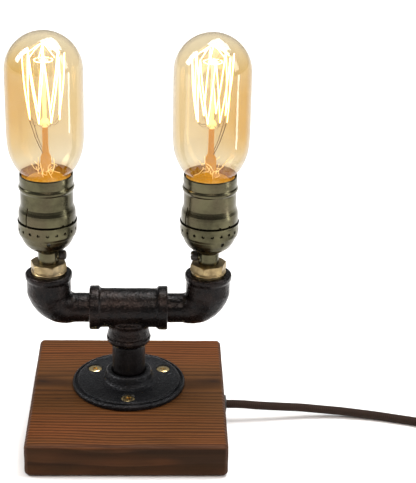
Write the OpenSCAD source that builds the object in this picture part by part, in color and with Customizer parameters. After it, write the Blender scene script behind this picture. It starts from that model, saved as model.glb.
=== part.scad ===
// Industrial pipe table lamp: two bare bulbs on black iron pipe fittings,
// standing on a wooden block, with a braided supply cord.
// Millimetres. Origin at the middle of the block's underside, +Z up,
// +X towards the cord side, -Y towards the viewer.

/* [Base] */
// Width of the wooden block, across the two bulbs
base_w = 125.5; // [120:0.5:140]
// Depth of the wooden block
base_d = 141; // [130:1:160]
// Thickness of the wooden block
base_t = 22.6; // [21:0.2:26]
// Radius of the worn edges and corners of the block
edge_r = 3; // [1:0.5:4]
// How far the column stands behind the middle of the block
column_y = 7.3; // [0:0.1:12]

/* [Pipe fittings] */
// Outer diameter of the half-inch pipe nipple
pipe_od = 21.3; // [21:0.1:21.6]
// Bore of the pipe nipple
pipe_id = 15.8; // [14:0.2:16.2]
// Diameter of the floor flange
flange_d = 73.6; // [72:0.2:76]
// Thickness of the floor flange
flange_t = 4.3; // [4:0.1:5]
// Height of the arm axis above the table
axis_z = 78.3; // [76:0.1:84]
// Centre to end of the tee and of the elbows
centre_to_end = 25; // [24.5:0.1:26]
// Distance of each lamp axis from the column
lamp_x = 50.7; // [50:0.1:54]
// Radius of the wide leg of the elbow
leg_r = 14.1; // [13.8:0.1:14.4]
// Radius of the narrow neck of the elbow
neck_r = 9.46; // [9.2:0.02:9.8]

/* [Lamp holders] */
// Height of the holder's rim above the table
rim_z = 170.8; // [170:0.1:174]
// Number of small vent holes around the lower cap
vent_count = 20; // [12:1:24]
// Direction of the slit in the left holder's shell, degrees from +X
left_slit_a = 228; // [200:1:260]
// Direction of the slit in the right holder's shell, degrees from +X
right_slit_a = 212; // [200:1:260]

/* [Bulbs] */
// Radius of the tubular glass envelope
bulb_r = 23.8; // [22:0.1:24]
// Height of the top of the glass above the table
bulb_top = 260.4; // [250:0.1:262]
// Height of the tip contact when the bulb is home
tip_z = 140; // [139.9:0.1:140.5]

/* [Cord] */
// Diameter of the braided cord
cord_d = 5.6; // [5.2:0.1:6]
// Mean radius of the stored coil
coil_r = 33; // [32:0.5:34]

/* [Hidden] */
$fn = 96;
yc = column_y;
flange_z = base_t + flange_t;        // top of the flange plate
hole_z = 11.3;                       // height of the cord hole in the block
bead_r = 14.9;                       // reinforcing bead on the elbow
thread_r = 10.44;                    // male half-inch thread, crest
tap_r = 10.50;                       // female half-inch thread
elbow_top = axis_z + centre_to_end;  // 103.3
hex_lo = 105.8;                      // underside of the bushing's hexagon
hex_hi = 110.8;                      // top of the bushing's hexagon
coil_c = [256, 36];                  // middle of the stored coil
coil_half = 11.35;                   // half the radial depth of the bundle
coil_lo = 0.8;                       // the bundle rests on its tie
coil_h = 11.3;
sw_c = [238, -26];                   // middle of the inline switch
sw_a = -20;                          // heading of the cord through the switch
sw_z = 7.5;                          // height of the cord in the switch
plug_x = 301.55;                     // the plug points along +Y on this line
plug_y = 57;                         // start of the plug's strain relief

// Cord from the grommet to the inline switch, drooping to the table.
lead_pts = [[64.3, 0, 11.3], [70, 0, 11.3], [77, 0.1, 10.9], [84, 0.4, 10.1],
    [99, 1.5, 8.6], [114, 3, 7], [128, 3.4, 5.4], [141, 3, 4.3],
    [154, 1.5, 3.4], [166.5, -1, 3], [175, -3.4, 2.9], [184, -6, 2.9],
    [190, -8, 3], [198, -11.3, 4.6], [206.05, -14.37, 7.5]];
// Cord from the inline switch round to the coil.
feed_pts = [[269.95, -37.63, 7.5], [276, -39.2, 5.4], [283, -38.6, 3.4],
    [289.5, -35.8, 2.9], [295, -31.6, 2.9], [299.5, -26, 2.9],
    [302, -19.5, 2.9], [303, -11, 2.9], [302.5, 0, 2.9], [300.5, 12, 3.1],
    [298.7, 23, 3.4], [297.55, 33, 3.6]];
// Cord from the coil to the plug.
tail_pts = [[297.55, 37, 9.3], [298.04, 42, 9.25], [299.55, 47, 9.15],
    [301.06, 52, 9.05], [plug_x, plug_y, 9]];

// ---------- shared shapes ----------

// Rectangle with round corners, centred.
module round_rect(w, d, r) {
    square([w - 2 * r, d], center = true);
    square([w, d - 2 * r], center = true);
    for (x = [-1, 1], y = [-1, 1])
        translate([x * (w / 2 - r), y * (d / 2 - r)]) circle(r);
}

// Box with every edge rounded, standing on z = 0, from three crossing prisms.
module soft_box(w, d, h, r) {
    intersection() {
        linear_extrude(h) round_rect(w, d, r);
        translate([0, d / 2, h / 2]) rotate([90, 0, 0])
            linear_extrude(d) round_rect(w, h, r);
        translate([-w / 2, 0, h / 2]) rotate([90, 0, 90])
            linear_extrude(w) round_rect(d, h, r);
    }
}

// Countersunk screw pointing down from z = 0, cross recess in the head.
module screw(head_r, head_h, shank_r, len) {
    difference() {
        union() {
            rotate_extrude() polygon([[0, 0], [head_r, 0],
                [head_r, -0.3], [shank_r, -head_h], [shank_r, 1 - len],
                [0, -len]]);
        }
        for (a = [0, 90]) rotate(a)
            translate([-head_r * 0.55, -0.45, -1.1])
                cube([head_r * 1.1, 0.9, 2]);
    }
}

// Direction from one route point to the next, turned into a frame.
function unit(v) = v / norm(v);
function heading(p, i) = unit(p[min(i + 1, len(p) - 1)] - p[max(i - 1, 0)]);
function side(t) = unit(cross([0, 0, 1], t));
function ring(p, i, r, n) = let (t = heading(p, i), u = side(t), v = cross(t, u))
    [for (k = [0:n - 1]) p[i] + r * (cos(360 * (k + 0.5) / n) * u
        + sin(360 * (k + 0.5) / n) * v)];

// Round tube swept along a route.
module sweep(p, r, n) {
    m = len(p);
    pts = [for (i = [0:m - 1]) each ring(p, i, r, n)];
    faces = concat(
        [[for (k = [0:n - 1]) k]],
        [for (i = [0:m - 2], k = [0:n - 1]) [i * n + k, (i + 1) * n + k,
            (i + 1) * n + (k + 1) % n, i * n + (k + 1) % n]],
        [[for (k = [n - 1:-1:0]) (m - 1) * n + k]]);
    polyhedron(points = pts, faces = faces, convexity = 4);
}

// A piece of insulated wire that runs up, used where the heading is vertical.
function vframe(p, i) = let (t = heading(p, i)) unit(cross([0, 1, 0], t));
module wire(p, r) {
    m = len(p);
    n = 8;
    pts = [for (i = [0:m - 1]) let (t = heading(p, i), u = vframe(p, i),
        v = cross(t, u)) each [for (k = [0:n - 1]) p[i]
        + r * (cos(360 * k / n) * u + sin(360 * k / n) * v)]];
    faces = concat(
        [[for (k = [0:n - 1]) k]],
        [for (i = [0:m - 2], k = [0:n - 1]) [i * n + k, (i + 1) * n + k,
            (i + 1) * n + (k + 1) % n, i * n + (k + 1) % n]],
        [[for (k = [n - 1:-1:0]) (m - 1) * n + k]]);
    polyhedron(points = pts, faces = faces, convexity = 4);
}

// Places a lamp part on its axis; s is -1 on the left and 1 on the right.
module at_lamp(s) { translate([s * lamp_x, yc, 0]) children(); }

// ---------- base ----------

plate_w = 100;
plate_d = 44;
flange_holes = [for (a = [-90, 30, 150]) [26 * cos(a), yc + 26 * sin(a)]];
plate_holes = [for (x = [-46.5, 46.5], y = [-15.5, 18.5]) [x, y]];

module base_block() {
    color([0.42, 0.26, 0.15])
    difference() {
        soft_box(base_w, base_d, base_t, edge_r);
        // rebate for the bottom plate and the wiring trough above it
        translate([-plate_w / 2, 1.5 - plate_d / 2, -1])
            cube([plate_w, plate_d, 3]);
        translate([-42, -12, 1]) cube([84, 27, 14.2]);
        // wire hole up into the flange
        translate([0, yc, 10]) cylinder(h = 20, r = 6);
        // cord hole in the right face
        translate([40, 0, hole_z]) rotate([0, 90, 0]) cylinder(h = 30, r = 3.2);
        translate([base_w / 2 - 9.2, 0, hole_z]) rotate([0, 90, 0])
            cylinder(h = 12, r = 4);
        for (p = flange_holes)
            translate([p[0], p[1], base_t - 13]) cylinder(h = 20, r = 1.5, $fn = 32);
        for (p = plate_holes)
            translate([p[0], p[1], 1]) cylinder(h = 8, r = 1.1, $fn = 32);
    }
}

module bottom_plate() {
    color([0.12, 0.11, 0.10])
    difference() {
        translate([0, 1.5, 0]) linear_extrude(2)
            round_rect(plate_w - 0.4, plate_d - 0.4, 2);
        for (p = plate_holes) translate([p[0], p[1], -0.01])
            rotate_extrude($fn = 48) polygon([[0, -1], [3, -1], [3, 0.35],
                [1.6, 1.6], [1.6, 3], [0, 3]]);
    }
}

module plate_screws() {
    color([0.35, 0.35, 0.36])
    for (p = plate_holes) translate([p[0], p[1], 0.2])
        mirror([0, 0, 1]) screw(2.7, 1.5, 1.1, 8.5, $fn = 32);
}

// ---------- column ----------

module floor_flange() {
    fr = flange_d / 2;
    color([0.10, 0.10, 0.11])
    difference() {
        translate([0, yc, 0]) rotate_extrude() polygon([
            [tap_r, base_t], [fr - 0.6, base_t], [fr, base_t + 0.8],
            [fr, base_t + 2.6], [fr - 0.9, base_t + 3.5],
            [fr - 1.9, base_t + 3.5], [fr - 2.2, base_t + 3.1],
            [fr - 2.5, flange_z - 0.3], [fr - 2.9, flange_z],
            [17.2, flange_z], [16.3, flange_z + 0.5], [15.6, flange_z + 1.6],
            [15.1, flange_z + 4.6], [14.6, flange_z + 6.2],
            [13.6, flange_z + 7.0], [11.8, flange_z + 7.0],
            [tap_r, flange_z + 6.1]]);
        for (p = flange_holes) translate([p[0], p[1], 0])
            rotate_extrude($fn = 48) polygon([[0, base_t - 1],
                [2.3, base_t - 1], [2.3, flange_z - 3], [4.9, flange_z - 0.4],
                [4.9, flange_z + 1], [0, flange_z + 1]]);
    }
}

module flange_screws() {
    color([0.78, 0.68, 0.42])
    for (i = [0:2]) translate([flange_holes[i][0], flange_holes[i][1],
        flange_z - 0.7]) rotate(20 + 50 * i) screw(4.4, 2.5, 1.5, 15, $fn = 48);
}

nip_lo = base_t + 1.5;
nip_hi = nip_lo + 38;
module riser_nipple() {
    color([0.08, 0.08, 0.09])
    translate([0, yc, nip_lo]) difference() {
        cylinder(h = 38, r = 10.44);
        translate([0, 0, -1]) cylinder(h = 40, r = pipe_id / 2);
    }
    // full-size barrel between the two threads
    color([0.08, 0.08, 0.09])
    translate([0, yc, flange_z + 7.05]) difference() {
        cylinder(h = axis_z - centre_to_end - flange_z - 7.1, r = pipe_od / 2);
        translate([0, 0, -1]) cylinder(h = 40, r = pipe_id / 2);
    }
}

module pipe_tee() {
    L = centre_to_end;
    color([0.09, 0.085, 0.085])
    difference() {
        union() {
            // run, with a band at each end
            translate([-L, yc, axis_z]) rotate([0, 90, 0]) rotate_extrude()
                polygon([[0, 0], [13.7, 0], [14.15, 0.5], [14.15, 5.6],
                    [13.6, 6.3], [12.6, 7.1], [12.6, 2 * L - 7.1],
                    [13.6, 2 * L - 6.3], [14.15, 2 * L - 5.6],
                    [14.15, 2 * L - 0.5], [13.7, 2 * L], [0, 2 * L]]);
            // branch, with its bead
            translate([0, yc, axis_z - L]) rotate_extrude()
                polygon([[0, 0], [11.3, 0], [12.6, 0.9], [13.9, 2.6],
                    [14.35, 4.4], [14.2, 5.3], [12.9, 6.1], [13.8, 7],
                    [13.3, 9], [12.4, 11.5], [12.4, L], [0, L]]);
        }
        translate([-L - 1, yc, axis_z]) rotate([0, 90, 0])
            cylinder(h = 2 * L + 2, r = 8.9);
        for (s = [-1, 1]) translate([s * (L + 1), yc, axis_z])
            rotate([0, -90 * s, 0]) cylinder(h = 14, r = tap_r);
        translate([0, yc, axis_z - L - 1]) cylinder(h = L + 1, r = 8.9);
        translate([0, yc, axis_z - L - 1]) cylinder(h = 11.6, r = tap_r);
    }
}

// ---------- arms ----------

// Section i of the elbow's bend: circles that turn about the inner corner
// while they widen from the neck to the leg.
bend_n = 12;
corner_g = 2;
corner_x = lamp_x - corner_g - leg_r;
corner_z = axis_z + corner_g + neck_r;
function bend_r(t) = neck_r + (leg_r - neck_r) * t;
function bend_ring(i, n) = let (t = i / bend_n, a = 90 * t, r = bend_r(t),
    dx = sin(a), dz = -cos(a), c = corner_g + r)
    [for (k = [0:n - 1]) let (q = 360 * k / n) [
        corner_x + (c + r * cos(q)) * dx,
        r * sin(q),
        corner_z + (c + r * cos(q)) * dz]];

// Skin of the elbow from inside the thread, round the bend, to the bead.
module elbow_skin(n) {
    pts = concat(
        [for (k = [0:n - 1]) let (q = 360 * k / n)
            [centre_to_end - 1.4, neck_r * sin(q),
                axis_z - neck_r * cos(q)]],
        [for (i = [0:bend_n]) each bend_ring(i, n)],
        [for (k = [0:n - 1]) let (q = 360 * k / n)
            [lamp_x + leg_r * cos(q), leg_r * sin(q), elbow_top - 2]]);
    m = bend_n + 2;
    faces = concat(
        [[for (k = [0:n - 1]) k]],
        [for (i = [0:m - 1], k = [0:n - 1]) [i * n + k, (i + 1) * n + k,
            (i + 1) * n + (k + 1) % n, i * n + (k + 1) % n]],
        [[for (k = [n - 1:-1:0]) m * n + k]]);
    polyhedron(points = pts, faces = faces, convexity = 4);
}

module elbow(s) {
    x_in = centre_to_end - 12.4;      // inner end of the male thread
    mirror([s < 0 ? 1 : 0, 0, 0]) translate([0, yc, 0])
    difference() {
        union() {
            elbow_skin(36);
            // male thread inside the tee
            translate([x_in, 0, axis_z]) rotate([0, 90, 0]) rotate_extrude()
                polygon([[0, 0], [9.7, 0], [thread_r, 0.8],
                    [thread_r, 11.8], [9.6, 12.3], [0, 12.3]]);
            // bead
            translate([lamp_x, 0, 0]) rotate_extrude() polygon([
                [0, elbow_top - 4], [14.25, elbow_top - 4],
                [bead_r, elbow_top - 3.2], [bead_r, elbow_top - 0.8],
                [14.3, elbow_top], [0, elbow_top]]);
        }
        // waterway, in two crossing bores, and female thread
        translate([x_in - 1, 0, axis_z]) rotate([0, 90, 0])
            cylinder(h = 49.4 - x_in, r = 6);
        translate([lamp_x, 0, axis_z + 3]) cylinder(h = 25, r = 7);
        translate([lamp_x, 0, elbow_top - 13]) cylinder(h = 14, r = tap_r);
    }
}

module bushing(s) {
    at_lamp(s) difference() {
        union() {
            translate([0, 0, elbow_top - 11]) cylinder(h = 12, r = thread_r);
            translate([0, 0, elbow_top + 0.1]) rotate_extrude() polygon([
                [0, 0], [11.1, 0], [11.3, 0.3], [11.3, 0.8], [10.8, 1.2],
                [11.0, 1.6], [11.0, 2.5], [0, 2.5]]);
            intersection() {
                rotate(s < 0 ? 286 : 254) translate([0, 0, hex_lo])
                    cylinder(h = hex_hi - hex_lo, r = 11.9, $fn = 6);
                translate([0, 0, hex_lo]) rotate_extrude() polygon([
                    [0, 0], [11.9, 0], [11.9, 4.1], [10.6, 5], [0, 5]]);
            }
        }
        translate([0, 0, elbow_top - 12]) cylinder(h = 30, r = 5);
    }
}

module lamp_nipple(s) {
    at_lamp(s) translate([0, 0, elbow_top - 5]) difference() {
        cylinder(h = 23.5, r = 4.94);
        translate([0, 0, -1]) cylinder(h = 26, r = 3.6);
    }
}

// ---------- lamp holders ----------

module socket_cap(s) {
    at_lamp(s) difference() {
        rotate_extrude() polygon([
            [5, hex_hi + 0.05], [6.2, hex_hi + 0.05], [6.2, 118.7],
            [8, 119.7], [11.5, 121.5], [14.2, 124], [16, 127.2],
            [17, 130.2], [17.8, 130.8], [18.3, 132.4], [18.5, 134.5],
            [18.5, 138.8], [18.6, 139.8], [17.9, 139.8], [17.7, 139.0],
            [17.7, 134.5], [17.5, 132.7], [16.2, 130.6], [15.3, 127.8],
            [13.6, 124.7], [11.1, 122.3], [7.7, 120.6], [5, 120.6]]);
        // vent holes round the band
        for (i = [0:vent_count - 1]) rotate(i * 360 / vent_count + 4)
            translate([15, 0, 135.6]) rotate([0, 90, 0])
                cylinder(h = 6, r = 0.95, $fn = 16);
        // two larger holes low in the dome
        for (a = [0, 180]) rotate(a + (s < 0 ? 276 : 298))
            translate([11, 0, 127.6]) rotate([0, 70, 0])
                cylinder(h = 10, r = 1.15, $fn = 20);
        // tapped hole for the neck screw, facing the column
        rotate(s < 0 ? 0 : 180) translate([3, 0, 115.2]) rotate([0, 90, 0])
            cylinder(h = 5, r = 1.55, $fn = 24);
    }
}

module neck_screw(s) {
    at_lamp(s) rotate(s < 0 ? 0 : 180) translate([5.05, 0, 115.2])
    rotate([0, 90, 0]) difference() {
        union() {
            cylinder(h = 2, r = 1.5, $fn = 24);
            translate([0, 0, 1.35]) rotate_extrude($fn = 36) polygon([
                [0, 0], [2.9, 0], [3.2, 0.4], [3.2, 3.6], [2.8, 4.6],
                [1.6, 5.2], [0, 5.3]]);
        }
        translate([-0.45, -4, 4.9]) cube([0.9, 8, 4]);
    }
}

module socket_core(s) {
    // moulded body that carries the terminals
    at_lamp(s) difference() {
        rotate_extrude() polygon([[2, 125.5], [12, 125.5], [13.2, 126.8],
            [14.8, 130.4], [14.8, 137.9], [5.2, 137.9], [5.2, 136.4],
            [2, 136.4]]);
        for (a = [20, 200]) rotate(a) {
            translate([8.6, 0, 124]) cylinder(h = 4.2, r = 3, $fn = 32);
            translate([8.6, 0, 128]) cylinder(h = 4, r = 1.25, $fn = 24);
        }
    }
}

module centre_contact(s) {
    // sprung brass tongue under the bulb's tip
    at_lamp(s) {
        translate([0, 0, 129]) cylinder(h = 9, r = 1.9, $fn = 32);
        translate([0, 0, 138]) cylinder(h = 0.6, r = 4.5, $fn = 40);
        translate([0, 0, 138.6]) cylinder(h = 1.2, r = 2.6, $fn = 40);
    }
}

module terminal_screws(s) {
    at_lamp(s) for (a = [20, 200]) rotate(a) translate([8.6, 0, 0])
    difference() {
        union() {
            translate([0, 0, 126.2]) cylinder(h = 1.8, r = 2.7, $fn = 32);
            translate([0, 0, 127.5]) cylinder(h = 4.2, r = 1.2, $fn = 24);
        }
        translate([-3, -0.35, 126]) cube([6, 0.7, 0.8]);
    }
}

module screw_shell(s) {
    // rolled thread that the bulb's cap turns in
    at_lamp(s) rotate_extrude() polygon([
        [5.4, 138.0], [13.8, 138.0], [13.8, 162.6], [13.3, 162.6],
        [13.3, 138.7], [5.4, 138.7]]);
}

module shell_liner(s) {
    at_lamp(s) rotate_extrude() polygon([
        [14.9, 129.8], [15.35, 129.8], [15.35, 168.4], [14.9, 168.4]]);
}

module socket_shell(s) {
    a = s < 0 ? left_slit_a : right_slit_a;
    at_lamp(s) difference() {
        rotate_extrude() polygon([
            [17.55, 134.6], [17.55, 140.2], [17.95, 140.6],
            [17.95, 143], [17.9, 146.2], [17.7, 147.4],
            [17.1, 148.8], [16.6, 150.0], [16.5, 151.5], [16.5, 159.8],
            [16.8, 160.6], [17.3, 161.3], [17.5, 162.2], [17.3, 163.1],
            [16.9, 164.1], [16.8, 167], [16.6, rim_z - 0.6],
            [16.4, rim_z], [16.0, rim_z],
            [15.8, rim_z - 0.4], [15.8, 152], [16.6, 148.5], [17.1, 146.2],
            [17.1, 141.6], [16.9, 140.6], [16.9, 134.6]]);
        // opposite slits that let the shell spring into the cap
        for (b = [0, 180]) rotate(a + b)
            translate([14, -0.45, 133]) cube([6, 0.9, 18.8]);
    }
}

// ---------- bulbs ----------

module bulb_glass(s) {
    h = bulb_top - bulb_r;
    at_lamp(s) rotate_extrude() polygon(concat(
        [[12.2, 160], [12.9, 160], [12.9, 164.4], [14, 166.6],
         [14.8, 169.2], [15.3, 170.9], [16.9, 172.8], [18.9, 175.9],
         [20.8, 179.8], [22.3, 183.8], [23.2, 188], [23.65, 193]],
        [for (a = [0:6:90]) [bulb_r * cos(a), h + bulb_r * sin(a)]],
        [for (a = [90:-6:0]) [(bulb_r - 0.7) * cos(a),
            h + (bulb_r - 0.7) * sin(a)]],
        [[22.95, 193], [22.5, 188.1], [21.6, 184], [20.1, 180.2],
         [18.3, 176.3], [16.3, 173.3], [14.6, 171.2], [14.1, 169.3],
         [13.3, 166.8], [12.2, 164.7]]));
}

module bulb_stem(s) {
    // flare, press and centre rod, one piece of glass
    at_lamp(s) rotate_extrude($fn = 48) polygon([[0, 163], [11.9, 163],
        [11.9, 164.2], [7.5, 168], [5, 173], [4, 178.5], [1.8, 181],
        [1.3, 184], [1.3, 201.8], [2.6, 202.4], [3, 203.6], [2.6, 204.9],
        [1.3, 205.5], [1.2, 243.5], [0, 244]]);
}

// Top and bottom anchor points of the filament's zigzag.
cage_n = 8;
function top_pt(i) = [12.5 * cos(360 * i / cage_n),
    12.5 * sin(360 * i / cage_n), 247.5];
function low_pt(i) = [9.5 * cos(360 * (i + 0.5) / cage_n),
    9.5 * sin(360 * (i + 0.5) / cage_n), 205.8];
module strand(p, q, r) {
    d = q - p;
    translate(p) rotate([0, acos(d[2] / norm(d)), atan2(d[1], d[0])])
        cylinder(h = norm(d), r = r, $fn = 8);
}

module filament(s) {
    // a cage of strands that runs up and down between the hooks
    at_lamp(s) union() {
        for (i = [0:cage_n - 1]) {
            strand(top_pt(i), low_pt(i), 0.3);
            if (i < cage_n - 1) strand(low_pt(i), top_pt(i + 1), 0.3);
        }
    }
}

module filament_supports(s) {
    // lead wires beside the rod and hooks that hold the strands
    at_lamp(s) {
        for (i = [0:cage_n - 1])
            strand([1.3 * cos(360 * i / cage_n), 1.3 * sin(360 * i / cage_n),
                244], top_pt(i) - [0.6, 0, 0.4] * 0, 0.25);
        for (a = [22.5, 202.5]) rotate(a)
            strand([3.2, 0, 180.4], [9.5, 0, 205.4], 0.3);
    }
}

module bulb_cap(s) {
    // thin threaded cap, drawn at its crest
    at_lamp(s) rotate_extrude() polygon([
        [4.9, 141.6], [9.4, 141.9], [12.0, 143.6], [13, 145.2],
        [13, 164.6], [13.05, 165.1], [12.95, 165.1], [12.95, 159.9],
        [12.5, 159.9], [12.5, 145.6], [11.6, 144.3], [9.2, 142.6],
        [4.9, 142.3]]);
}

module bulb_tip(s) {
    // glass insulator with the solder contact in its middle
    at_lamp(s) rotate_extrude($fn = 60) polygon([[0, tip_z], [2.6, tip_z],
        [4.2, tip_z + 0.5], [4.6, tip_z + 1], [4.8, tip_z + 1.6],
        [4.8, tip_z + 2.6], [0, tip_z + 2.6]]);
}

// ---------- wiring ----------

module wires_in_arm(s) {
    // two insulated conductors from the tee to the holder's terminals
    mirror([s < 0 ? 1 : 0, 0, 0]) for (k = [-1, 1])
        wire([[14, yc + 1.4 * k, axis_z], [26, yc + 1.4 * k, axis_z],
            [38, yc + 1.4 * k, axis_z], [44, yc + 1.4 * k, axis_z + 1],
            [48.5, yc + 1.4 * k, axis_z + 4.5],
            [50.4, yc + 1.4 * k, axis_z + 9],
            [lamp_x, yc + 1.4 * k, axis_z + 16],
            [lamp_x, yc + 1.4 * k, 112], [lamp_x, yc + 1.5 * k, 119],
            [lamp_x + 1.2 * k, yc + 2.4 * k, 123]], 1.05);
}

module wire_connectors() {
    // twist-on caps over the splices in the trough
    color([0.86, 0.55, 0.14])
    for (y = [-6.4, 9.2]) translate([-37, y, 8.4]) rotate([0, 90, 0])
        rotate_extrude($fn = 40) polygon([[0, 0], [2.6, 0], [3.2, 1],
            [4.4, 15], [4.6, 16.5], [4.6, 18], [0, 18]]);
}

module inner_cord() {
    // cord end inside the block, with the knot that takes the pull
    color([0.25, 0.17, 0.11])
    translate([28, 0, hole_z]) rotate([0, 90, 0]) rotate_extrude($fn = 40)
        polygon([[0, 0], [2.7, 0], [2.7, 2], [3.4, 3], [3.75, 5], [3.75, 6.8],
            [3.4, 8.6], [2.75, 10.2], [2.75, 36.2], [0, 36.2]]);
    color([0.25, 0.17, 0.11]) {
        wire([[27.9, 1.3, hole_z], [16, 9, 11.5], [4, 13, 11.5],
            [-8, 13, 11], [-18.8, 9.2, 8.4]], 1.05);
        wire([[27.9, -1.3, hole_z], [16, -3, 11.5], [0, -4, 11],
            [-18.8, -6.4, 8.4]], 1.05);
    }
}

module supply_wires() {
    // from the splices up the column to the two arms
    color([0.15, 0.14, 0.14]) for (k = [-1, 1]) {
        wire([[-18.8, k < 0 ? -4.2 : 11.2, 6.2],
            [-8, k < 0 ? 0 : 11.4, 6.6], [-2.6, yc + 2.2 * k, 10.5],
            [-2.4, yc + 2.2 * k, 16], [-2.4, yc + 2.2 * k, 40],
            [-2.4, yc + 1.8 * k, 66], [-4.5, yc + 1.5 * k, 73.5],
            [-8.5, yc + 1.4 * k, 77.4], [-13.8, yc + 1.4 * k, axis_z]], 1.05);
        wire([[-18.8, k < 0 ? -8.4 : 7.4, 6.2],
            [-5, k < 0 ? -3 : 8.2, 5.2], [2.2, yc + 2.2 * k, 10],
            [2.4, yc + 2.2 * k, 16], [2.4, yc + 2.2 * k, 40],
            [2.4, yc + 1.8 * k, 66], [4.5, yc + 1.5 * k, 73.5],
            [8.5, yc + 1.4 * k, 77.4], [13.8, yc + 1.4 * k, axis_z]], 1.05);
    }
}

// ---------- cord and what is on it ----------

module cord_grommet() {
    color([0.06, 0.06, 0.06])
    translate([0, 0, hole_z]) rotate([0, 90, 0]) rotate_extrude($fn = 64)
        polygon([[2.85, base_w / 2 - 9], [3.8, base_w / 2 - 9],
            [3.95, base_w / 2 - 8], [3.95, base_w / 2],
            [6, base_w / 2], [6, base_w / 2 + 0.8],
            [5.3, base_w / 2 + 1.5], [2.85, base_w / 2 + 1.5]]);
}

module cord_lead() { color([0.25, 0.17, 0.11]) sweep(lead_pts, cord_d / 2, 8); }
module cord_feed() { color([0.25, 0.17, 0.11]) sweep(feed_pts, cord_d / 2, 8); }
module cord_tail() { color([0.25, 0.17, 0.11]) sweep(tail_pts, cord_d / 2, 8); }

module cord_coil() {
    color([0.25, 0.17, 0.11])
    translate([coil_c[0], coil_c[1], coil_lo]) rotate_extrude() polygon([
        [coil_r - coil_half, 1], [coil_r - coil_half + 1, 0],
        [coil_r + coil_half - 1, 0], [coil_r + coil_half, 1],
        [coil_r + coil_half, coil_h - 1], [coil_r + coil_half - 1, coil_h],
        [coil_r - coil_half + 1, coil_h], [coil_r - coil_half, coil_h - 1]]);
}

module coil_tie() {
    // strap round the bundle, at the coil's far side
    color([0.05, 0.05, 0.05])
    translate([coil_c[0], coil_c[1], 0]) rotate(100) difference() {
        translate([coil_r - coil_half - 1, -3.5, 0])
            cube([2 * coil_half + 2, 7, coil_h + 1.7]);
        translate([coil_r - coil_half - 0.05, -4, coil_lo - 0.05])
            cube([2 * coil_half + 0.1, 8, coil_h + 0.1]);
    }
}

module plug_body() {
    color([0.09, 0.08, 0.08])
    translate([plug_x, 0, 9]) {
        // tapered strain relief
        translate([0, plug_y, 0]) rotate([-90, 0, 0])
            rotate_extrude($fn = 48) polygon([[0, 0], [3.6, 0], [3.9, 0.6],
                [4.6, 12], [6, 22.4], [0, 22.4]]);
        translate([0, plug_y + 22, -9]) difference() {
            translate([0, 17, 0]) soft_box(24, 34, 18, 4);
            // grip hollows
            for (s = [-1, 1]) translate([s * 22.5, 14, 9])
                cylinder(h = 40, r = 11.4, center = true);
        }
    }
}

module plug_pins() {
    color([0.8, 0.72, 0.45])
    for (s = [-1, 1]) translate([plug_x + s * 6.35 - 0.75, plug_y + 56.02,
        9 - (s < 0 ? 3.95 : 3.2)]) cube([1.5, 17, s < 0 ? 7.9 : 6.4]);
}

// Inline switch, drawn along +X and then turned to the cord's heading.
sw_len = 44;
sw_w = 26;
module at_switch() {
    translate([sw_c[0], sw_c[1], 0]) rotate(sw_a) children();
}
module sw_outline(g) {
    round_rect(sw_len - 2 * g, sw_w - 2 * g, 9 - g);
}
module sw_relief() {
    for (a = [0, 180]) rotate(a) translate([21, 0, sw_z])
        rotate([0, 90, 0]) rotate_extrude($fn = 40) polygon([[0, 0],
            [6.8, 0], [6.4, 2.5], [4.4, 11], [3.7, 12.9], [0, 12.9]]);
}

module switch_lower_shell() {
    color([0.07, 0.07, 0.07])
    at_switch() difference() {
        union() {
            linear_extrude(sw_z) sw_outline(0);
            intersection() {
                sw_relief();
                translate([-50, -10, -1]) cube([100, 20, sw_z + 1]);
            }
        }
        translate([0, 0, 1.6]) linear_extrude(10) round_rect(34, 20, 4);
        // channel that the cord lies in
        translate([-60, 0, sw_z]) rotate([0, 90, 0])
            cylinder(h = 120, r = 2.85);
        for (x = [-19, 19], y = [-8.5, 8.5])
            translate([x, y, 1.2]) cylinder(h = 10, r = 1.0, $fn = 24);
    }
}

module switch_upper_shell() {
    color([0.07, 0.07, 0.07])
    at_switch() difference() {
        union() {
            difference() {
                union() {
                    translate([0, 0, sw_z + 0.02]) intersection() {
                        linear_extrude(10.4) sw_outline(0);
                        translate([0, sw_w / 2, 0]) rotate([90, 0, 0])
                            linear_extrude(sw_w) polygon([[-22, 0], [22, 0],
                                [22, 6.5], [18, 9.8], [13, 10.4], [-13, 10.4],
                                [-18, 9.8], [-22, 6.5]]);
                    }
                    intersection() {
                        sw_relief();
                        translate([-50, -10, sw_z + 0.02]) cube([100, 20, 10]);
                    }
                }
                translate([0, 0, sw_z - 1])
                    linear_extrude(9.4) round_rect(34, 20, 4);
                translate([-60, 0, sw_z]) rotate([0, 90, 0])
                    cylinder(h = 120, r = 2.85);
            }
            // lugs that carry the rocker's pins
            for (s = [-1, 1]) translate([-3.2, s * 6.8 - 1.2, 12.4])
                cube([6.4, 2.4, 4]);
        }
        // rocker window
        translate([-9.2, -5.6, 10]) cube([18.4, 11.2, 12]);
        // pivot holes for the rocker
        translate([0, -8.4, 14.9]) rotate([-90, 0, 0])
            cylinder(h = 16.8, r = 1.28, $fn = 32);
        for (x = [-19, 19], y = [-8.5, 8.5])
            translate([x, y, 5]) cylinder(h = 4.5, r = 1.0, $fn = 24);
    }
}

module switch_rocker() {
    // shown pressed to ON, tilted about its trunnions
    color([0.55, 0.08, 0.06])
    at_switch() translate([0, 0, 14.9]) rotate([0, 9, 0]) {
        difference() {
            translate([0, 5.2, 0]) rotate([90, 0, 0]) linear_extrude(10.4)
                polygon([[-7.9, -1.2], [-4, -2.4], [4, -2.4], [7.9, -1.2],
                    [8.1, 4.6], [4.2, 3.7], [0, 3.4], [-4.2, 3.7],
                    [-8.1, 4.6]]);
        }
        translate([0, -7.4, 0]) rotate([-90, 0, 0])
            cylinder(h = 14.8, r = 1.22, $fn = 32);
    }
}

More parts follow.
